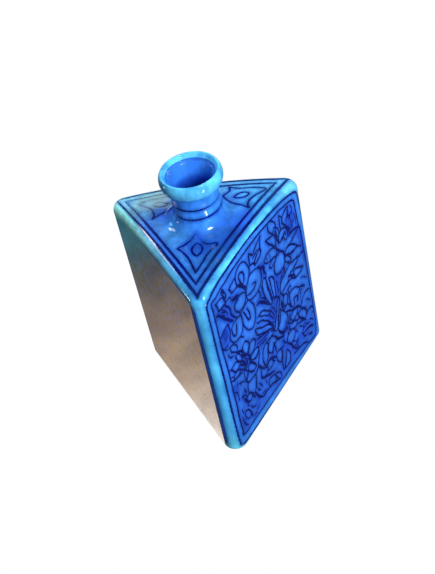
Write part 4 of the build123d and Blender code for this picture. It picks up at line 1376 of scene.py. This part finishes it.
neck = {
    "footRadius": 12.4, "waistRadius": 11.9, "headRadius": 13.2, "boreRadius": 9.0, "mouthRadius": 11.65,
    "hollow": 7.3,                    # radius of the curve out of the shoulder
    "waistHeight": 133.6, "headHeight": 140.9, "top": 146.0, "flareHeight": 136.1,
    "hollowCells": 24, "sideCells": 12, "flareCells": 16, "underPoints": 10,
    "around": 256, "along": 260, "lipAlong": 120,
    "sharpAngle": 50.0,               # steeper edges stay sharp
    "ringHeights": (128.2, 133.5), "ringWidth": 0.52,
    "ringBand": 0.4, "ringPoints": 48,
    "ringWear": 0.34, "wearFrom": 2.0, "wearLength": 8.0,        # the upper ring runs out to the right
    "filletEdge": 0.5,                # the shoulder's painting runs on to just below the lower ring
    "hidden": 1.0,                    # this far under the dome is inside the bottle
    "boreShadeHeights": (-4.0, 1.5, 5.0), "boreShadeInk": (0.03, 0.4, 2.2),        # painted shade: the bore is inked darker downward
    # painted shade: the bore is washed darker below the flare
    "boreShade": 4.0, "boreShadeLength": 6.0,
    "fieldRadius": 12.8, "fieldLength": 3.2,                     # where the shoulder's blue begins
    "levelRadius": 14.5, "levelLength": 3.0,                     # where the skin is worked like the dome
}
lip = {
    "middle": (12.9, 145.9),          # radius and height of the roll's middle
    "half": (3.05, 4.9),              # half thickness and half height of the roll
    "round": 1.0,                     # length that the rounding of its crest takes off each side
    "traced": 600, "every": 8, "roundPoints": 13,
    "paintEdge": 147.8,               # mouth painted below this height
    "paintSoft": 0.5,
    "inkDrop": 0.2, "inkStart": 0.25, "inkSlope": 0.9,           # a dark line along that edge
}
flare = 2 * math.atan2(neck["mouthRadius"] - neck["boreRadius"], neck["top"] - neck["flareHeight"])


def evenShares(count):
    return [i / count for i in range(1, count + 1)]


def neckProfile():
    foot, waist, head = neck["footRadius"], neck["waistRadius"], neck["headRadius"]
    waistHeight, flareHeight, top = neck["waistHeight"], neck["flareHeight"], neck["top"]
    seam, hollow, bore = body["seamRadius"], neck["hollow"], neck["boreRadius"]
    seamHeight = float(domeHeight(np.array([seam, 0.0])))
    centre = foot + hollow
    start = math.acos((seam - centre) / hollow)
    centreHeight = seamHeight + hollow * math.sin(start)
    points = []
    for share in [0.0] + evenShares(neck["hollowCells"]):
        turn = start + (math.pi - start) * share
        points.append((centre + hollow * math.cos(turn), centreHeight - hollow * math.sin(turn)))
    for share in evenShares(neck["sideCells"]):
        ease = share * share * (3 - 2 * share)
        points.append((foot + (waist - foot) * ease, centreHeight + (waistHeight - centreHeight) * share))
    for share in evenShares(neck["sideCells"]):
        height = waistHeight + (neck["headHeight"] - waistHeight) * share
        points.append((waist + (head - waist) * share ** 2, height))
    points += [(head, top), (neck["mouthRadius"], top)]
    bend = (top - flareHeight) / math.sin(flare)
    for share in evenShares(neck["flareCells"]):
        turn = flare * (1 - share)
        points.append((bore + bend * (1 - math.cos(turn)), flareHeight + bend * math.sin(turn)))
    for radius in np.linspace(bore, seam, neck["underPoints"]):
        points.append((radius, float(domeHeight(np.array([radius, 0.0]))) - body["shoulder"]))
    points.append((seam, seamHeight))
    return points


def lipProfile():
    # up the outside of the roll, over its crest, down the flare and back along the seat
    middle, half = np.array(lip["middle"]), np.array(lip["half"])
    mouth = np.array([neck["mouthRadius"], neck["top"]])
    slope = np.array([math.sin(flare), math.cos(flare)])
    foot = -math.acos((neck["headRadius"] - middle[0]) / half[0])
    turns = np.linspace(foot, math.pi / 2, lip["traced"])
    curve = [middle + half * np.array([math.cos(turn), math.sin(turn)]) for turn in turns]
    last = max(i for i, (r, z) in enumerate(curve) if r > mouth[0] + (z - mouth[1]) * math.tan(flare))
    crest = curve[last]
    begin = max(i for i in range(last) if np.linalg.norm(curve[i] - crest) > lip["round"])
    end = crest - lip["round"] * slope
    opening = np.dot(curve[begin] - crest, end - crest) / lip["round"] ** 2
    weight = math.sqrt((1 - min(max(opening, -1.0), 1.0)) / 2)
    rounding = []
    for share in np.linspace(0.0, 1.0, lip["roundPoints"]):
        parts = np.array([(1 - share) ** 2, 2 * weight * share * (1 - share), share ** 2])
        rounding.append((parts[0] * curve[begin] + parts[1] * crest + parts[2] * end) / parts.sum())
    seat = (neck["headRadius"], neck["top"])
    outside = [tuple(point) for point in curve[:begin:lip["every"]] + rounding]
    return outside + [tuple(mouth), seat, (seat[0], curve[0][1])]


def readVectors(data, name):
    values = np.zeros(len(data) * 3, np.float32)
    data.foreach_get(name, values)
    return values.reshape(-1, 3)


def turnProfile(name, profile, along, material):
    outline = [(r, 0.0, z) for r, z in profile]
    helper = drawCurve("profile_" + name, [(outline, brush["plainWidth"], False)])
    piece = linkPiece(name, bpy.data.meshes.new(name))
    values = {"Profile": helper, "Around": neck["around"], "Along": along, "Material": material}
    useTree(piece, wheelTree, values)
    settle(piece)
    dropHelpers(helper)
    piece.data.set_sharp_from_angle(angle=math.radians(neck["sharpAngle"]))
    return piece


def paintNeck(piece, points, radius, material):
    # the two rings, and the shoulder's painting where it runs on up the foot of the neck
    height = points[:, 2]
    turns = [math.tau * i / neck["ringPoints"] for i in range(neck["ringPoints"])]
    lines = []
    for ring in neck["ringHeights"]:
        near = radius[np.abs(height - ring) < neck["ringBand"]].max()
        circle = [(near * math.cos(turn), near * math.sin(turn), ring) for turn in turns]
        lines.append((circle, neck["ringWidth"], True))
    helper = drawCurve("neckRings", lines)
    useTree(piece, brushTree, {"Strokes": helper, "Attribute": "ink", "Material": material})
    settle(piece)
    dropHelpers(helper)
    ink = readField(piece.data, "ink")
    faces = [tuple(face.vertices) for face in piece.data.polygons]
    below = paintSheet(points, faces, starStrokes, {"wash": shoulderWash})
    below["ink"] += shoulderPaint["fadeWear"] * spotShare(points, "fade")
    lower, upper = neck["ringHeights"]
    fading = np.clip((points[:, 0] - neck["wearFrom"]) / neck["wearLength"], 0, 1)
    ink += neck["ringWear"] * (height > (lower + upper) / 2) * fading
    onFillet = (height < lower - neck["filletEdge"]) & (height > domeHeight(points[:, :2]) - neck["hidden"])
    ink = np.where(onFillet, np.minimum(ink, below["ink"]), ink)
    wash = np.where(onFillet, shoulderPaint["washShare"] * below["wash"], 0.0)
    # painted shade beside the neck, added to the wash
    wash += shoulderPaint["shadeShare"] * spotShare(points, "shade")
    return ink, wash


def turnPiece(name, profile, along, material, slotName, nodes, ringed):
    piece = turnProfile(name, profile, along, material)
    points = readVectors(piece.data.vertices, "co") / mm
    radius, height = np.hypot(points[:, 0], points[:, 1]), points[:, 2]
    ink, wash = paintNeck(piece, points, radius, material) if ringed else (noInk, 0.0)
    mesh = piece.data
    normals = readVectors(mesh.vertex_normals, "vector")
    inner = (normals[:, 0] * points[:, 0] + normals[:, 1] * points[:, 1]) / radius < 0.0
    # painted shade: the bore darkens downward, as ink and as wash
    depth = np.interp(height - neck["flareHeight"], neck["boreShadeHeights"], neck["boreShadeInk"])
    edge = lip["paintEdge"] - lip["inkDrop"] - height
    depth = np.where(edge > 0.0, np.minimum(depth, lip["inkStart"] + lip["inkSlope"] * edge), depth)
    boreShade = np.clip((neck["flareHeight"] + neck["boreShade"] - height) / neck["boreShadeLength"], 0, 1)
    margin = 1.0 if ringed else 0.0
    paintFields(mesh, {
        "ink": np.minimum(ink, np.where(inner, depth, noInk)),
        "wash": np.where(inner, boreShade, wash),
        "petal": inner * np.clip((lip["paintEdge"] - height) / lip["paintSoft"], 0, 1),
        "margin": np.full(len(points), margin),
        "field": margin * np.clip((radius - neck["fieldRadius"]) / neck["fieldLength"], 0, 1),
    })
    level = np.clip((radius - neck["levelRadius"]) / neck["levelLength"], 0, 1)
    level = level * (height < neck["ringHeights"][0])
    lift = normals * (1 - level)[:, None] + np.array([0.0, 0.0, 1.0]) * level[:, None]
    lift[height < domeHeight(points[:, :2]) - neck["hidden"]] = 0.0
    writeField(mesh, "lift", lift)
    finishPiece(piece, material, slotName, *nodes, depth=hand["wheelDepth"])


neckNodes = ["neck_collar", "neck_coil"]
turnPiece("turned_neck", neckProfile(), neck["along"], neckGlaze, "neck_glaze", neckNodes, True)
turnPiece("rolled_lip", lipProfile(), neck["lipAlong"], lipGlaze, "lip_glaze", ["lip_ring"], False)

for name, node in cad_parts.items():
    if "coil" in name and not node.hide_render:
        node.data.materials.clear()
        node.data.materials.append(innerGlaze)
print("pieces made")


# Stage: pale floor, soft light and the camera of the photograph

white = (1.0, 1.0, 1.0, 1.0)
stage = {
    "floorSize": 12.0, "floorDrop": 0.0003,
    "aim": (0.0, 0.0, 0.075),
    "keyPlace": (0.68, -0.75, 0.80), "keySize": 0.5, "keyPower": 21.0,
    "backPlace": (-0.40, 0.90, 0.75), "backSize": 0.5, "backPower": 15.0,
    "skyStrength": 0.34,                               # light on the diffuse colours
    "shadeSide": (0.866, 0.5, 0.0), "shade": 0.45,     # darker from the left, where the room is
    "shadeSpan": (-0.5, 0.3),
    "roomStrength": 0.05,                              # what the glaze mirrors elsewhere
    "tableSide": (-0.52, 0.49, -0.70),                 # brown table mirrored in the left wall
    "tableSpan": (0.93, 0.975),
    "tableEnd": (-0.669, -0.743, 0.0),                 # across the table
    "tableMiddle": -0.01, "tableHalf": (0.045, 0.09),  # which ends where the wall bends away
    "tableSlope": (1.0, -0.995, 0.981),                # its shades run this way, from far to near
    "tableShades": [
        (-1.649, (2.3, 1.98, 1.58)),
        (-1.6606, (1.78, 1.46, 1.08)),
        (-1.674, (1.25, 0.93, 0.59)),
        (-1.6848, (0.95, 0.69, 0.39)),
        (-1.6938, (0.68, 0.49, 0.27)),
        (-1.7016, (0.44, 0.34, 0.16)),
        (-1.7079, (0.27, 0.25, 0.10)),
        (-1.7128, (0.12, 0.32, 0.27)),
        (-1.72, (0.04, 0.32, 0.31)),
    ],
    "patchScale": 45.0, "patches": (0.72, 1.24),       # the table is worn in patches
    # soft windows mirrored in the glaze: direction, cosine at the rim and in the middle, colour
    "windows": [
        ((-0.262, 0.835, 0.484), 0.9975, 0.9997, (2.7, 4.2, 2.4)),
        ((-0.80, 0.53, 0.27), 0.985, 0.996, (0.9, 4.8, 4.2)),
        ((-0.745, 0.355, 0.565), 0.990, 0.9975, (6.0, 6.0, 6.0)),
        ((-0.972, 0.125, -0.20), 0.9975, 0.999, (10.0, 10.0, 10.0)),
        ((-0.65, 0.50, 0.572), 0.9955, 0.9985, (15.0, 14.0, 14.0)),
        ((0.48, -0.595, 0.645), 0.985, 0.992, (24.0, 24.0, 24.0)),
        ((0.61, -0.735, -0.29), 0.995, 0.998, (22.0, 22.0, 22.0)),
        ((0.56, -0.70, -0.44), 0.995, 0.998, (22.0, 22.0, 22.0)),
    ],
}


def makeFloor():
    size, drop = stage["floorSize"], -stage["floorDrop"]
    mesh = bpy.data.meshes.new("floor")
    corners = [(-size, -size, drop), (size, -size, drop), (size, size, drop), (-size, size, drop)]
    mesh.from_pydata(corners, [], [(0, 1, 2, 3)])
    floor = linkPiece("floor", mesh)
    material = bpy.data.materials.new("paleFloor")
    material.use_nodes = True
    tree = material.node_tree
    tree.nodes.clear()
    glow = addNode(tree, "ShaderNodeEmission", values={"Color": white, "Strength": 1.0})
    addNode(tree, "ShaderNodeOutputMaterial", values={"Surface": glow.outputs[0]})
    mesh.materials.append(material)
    floor.visible_diffuse = False
    floor.visible_glossy = False
    floor.visible_shadow = False


def areaLight(name, place, size, power):
    data = bpy.data.lights.new(name, "AREA")
    data.size = size
    data.energy = power
    lamp = linkPiece(name, data)
    lamp.location = place
    lamp.rotation_mode = "QUATERNION"
    lamp.rotation_quaternion = (Vector(stage["aim"]) - lamp.location).to_track_quat("-Z", "Y")
    lamp.visible_glossy = False      # highlights come from the mirrored windows


def makeSky():
    world = bpy.data.worlds.new("studio")
    scene.world = world
    world.use_nodes = True
    tree = world.node_tree
    tree.nodes.clear()
    direction = addNode(tree, "ShaderNodeTexCoord").outputs["Generated"]

    def towards(aim):
        return dotNode(tree, direction, aim)

    shade = rangeNode(tree, towards(stage["shadeSide"]), *stage["shadeSpan"], stage["shade"], 1.0)
    strength = mathNode(tree, "MULTIPLY", shade, stage["skyStrength"])
    shades = stage["tableShades"][::-1]
    low, high = shades[0][0], shades[-1][0]
    along = rangeNode(tree, towards(stage["tableSlope"]), low, high, 0.0, 1.0)
    ramp = addNode(tree, "ShaderNodeValToRGB", values={0: along})
    stops = ramp.color_ramp.elements
    while len(stops) < len(shades):
        stops.new(0.5)
    for stop, (height, colour) in zip(stops, shades):
        stop.position = (height - low) / (high - low)
        stop.color = (*colour, 1.0)
    side = rangeNode(tree, towards(stage["tableSide"]), *stage["tableSpan"], 0.0, 1.0, True)
    across = mathNode(tree, "SUBTRACT", towards(stage["tableEnd"]), stage["tableMiddle"])
    across = mathNode(tree, "ABSOLUTE", across)
    side = mathNode(tree, "MULTIPLY", side, rangeNode(tree, across, *stage["tableHalf"], 1.0, 0.0, True))
    patch = noiseNode(tree, direction, stage["patchScale"], detail=5.0)
    patch = greyNode(tree, rangeNode(tree, patch, *noiseSpan, *stage["patches"]))
    table = mixColour(tree, 1.0, ramp.outputs[0], patch, "MULTIPLY")
    mirrored = mixColour(tree, side, (*[stage["roomStrength"]] * 3, 1.0), table)
    for aim, rim, middle, colour in stage["windows"]:
        share = rangeNode(tree, towards(aim), rim, middle, 0.0, 1.0, True)
        mirrored = mixColour(tree, share, mirrored, (*colour, 1.0))

    def background(values):
        return addNode(tree, "ShaderNodeBackground", values=values).outputs[0]

    def either(share, first, second):
        return addNode(tree, "ShaderNodeMixShader", values={0: share, 1: first, 2: second}).outputs[0]

    path = addNode(tree, "ShaderNodeLightPath").outputs
    gloss = background({"Color": mirrored, "Strength": 1.0})
    lit = either(path["Is Glossy Ray"], background({"Strength": strength}), gloss)
    seen = either(path["Is Camera Ray"], lit, background({"Color": white, "Strength": 1.0}))
    addNode(tree, "ShaderNodeOutputWorld", values={"Surface": seen})


makeFloor()
makeSky()
areaLight("keyPanel", stage["keyPlace"], stage["keySize"], stage["keyPower"])
areaLight("backPanel", stage["backPlace"], stage["backSize"], stage["backPower"])

view = {
    "place": (68.5, -388.1, 441.2),
    "right": (0.98599889, 0.01400315, -0.16616289),
    "down": (-0.10951649, -0.69705319, -0.70860637),
    "forward": (-0.12574709, 0.71688267, -0.68576009),
    "focal": 1010.0,         # in pixels of a picture 574 high
    "height": 574.0,
    "sensor": 36.0,
    "clip": (0.01, 60.0),
}


def makeCamera():
    data = bpy.data.cameras.new("photoCamera")
    data.sensor_width = view["sensor"]
    data.lens = view["focal"] / view["height"] * view["sensor"]
    data.clip_start, data.clip_end = view["clip"]
    camera = linkPiece("photoCamera", data)
    right, down, forward = view["right"], view["down"], view["forward"]
    rows = [[right[i], -down[i], -forward[i], view["place"][i] * mm] for i in range(3)]
    camera.matrix_world = Matrix(rows + [[0.0, 0.0, 0.0, 1.0]])
    scene.camera = camera


makeCamera()
print("stage set")
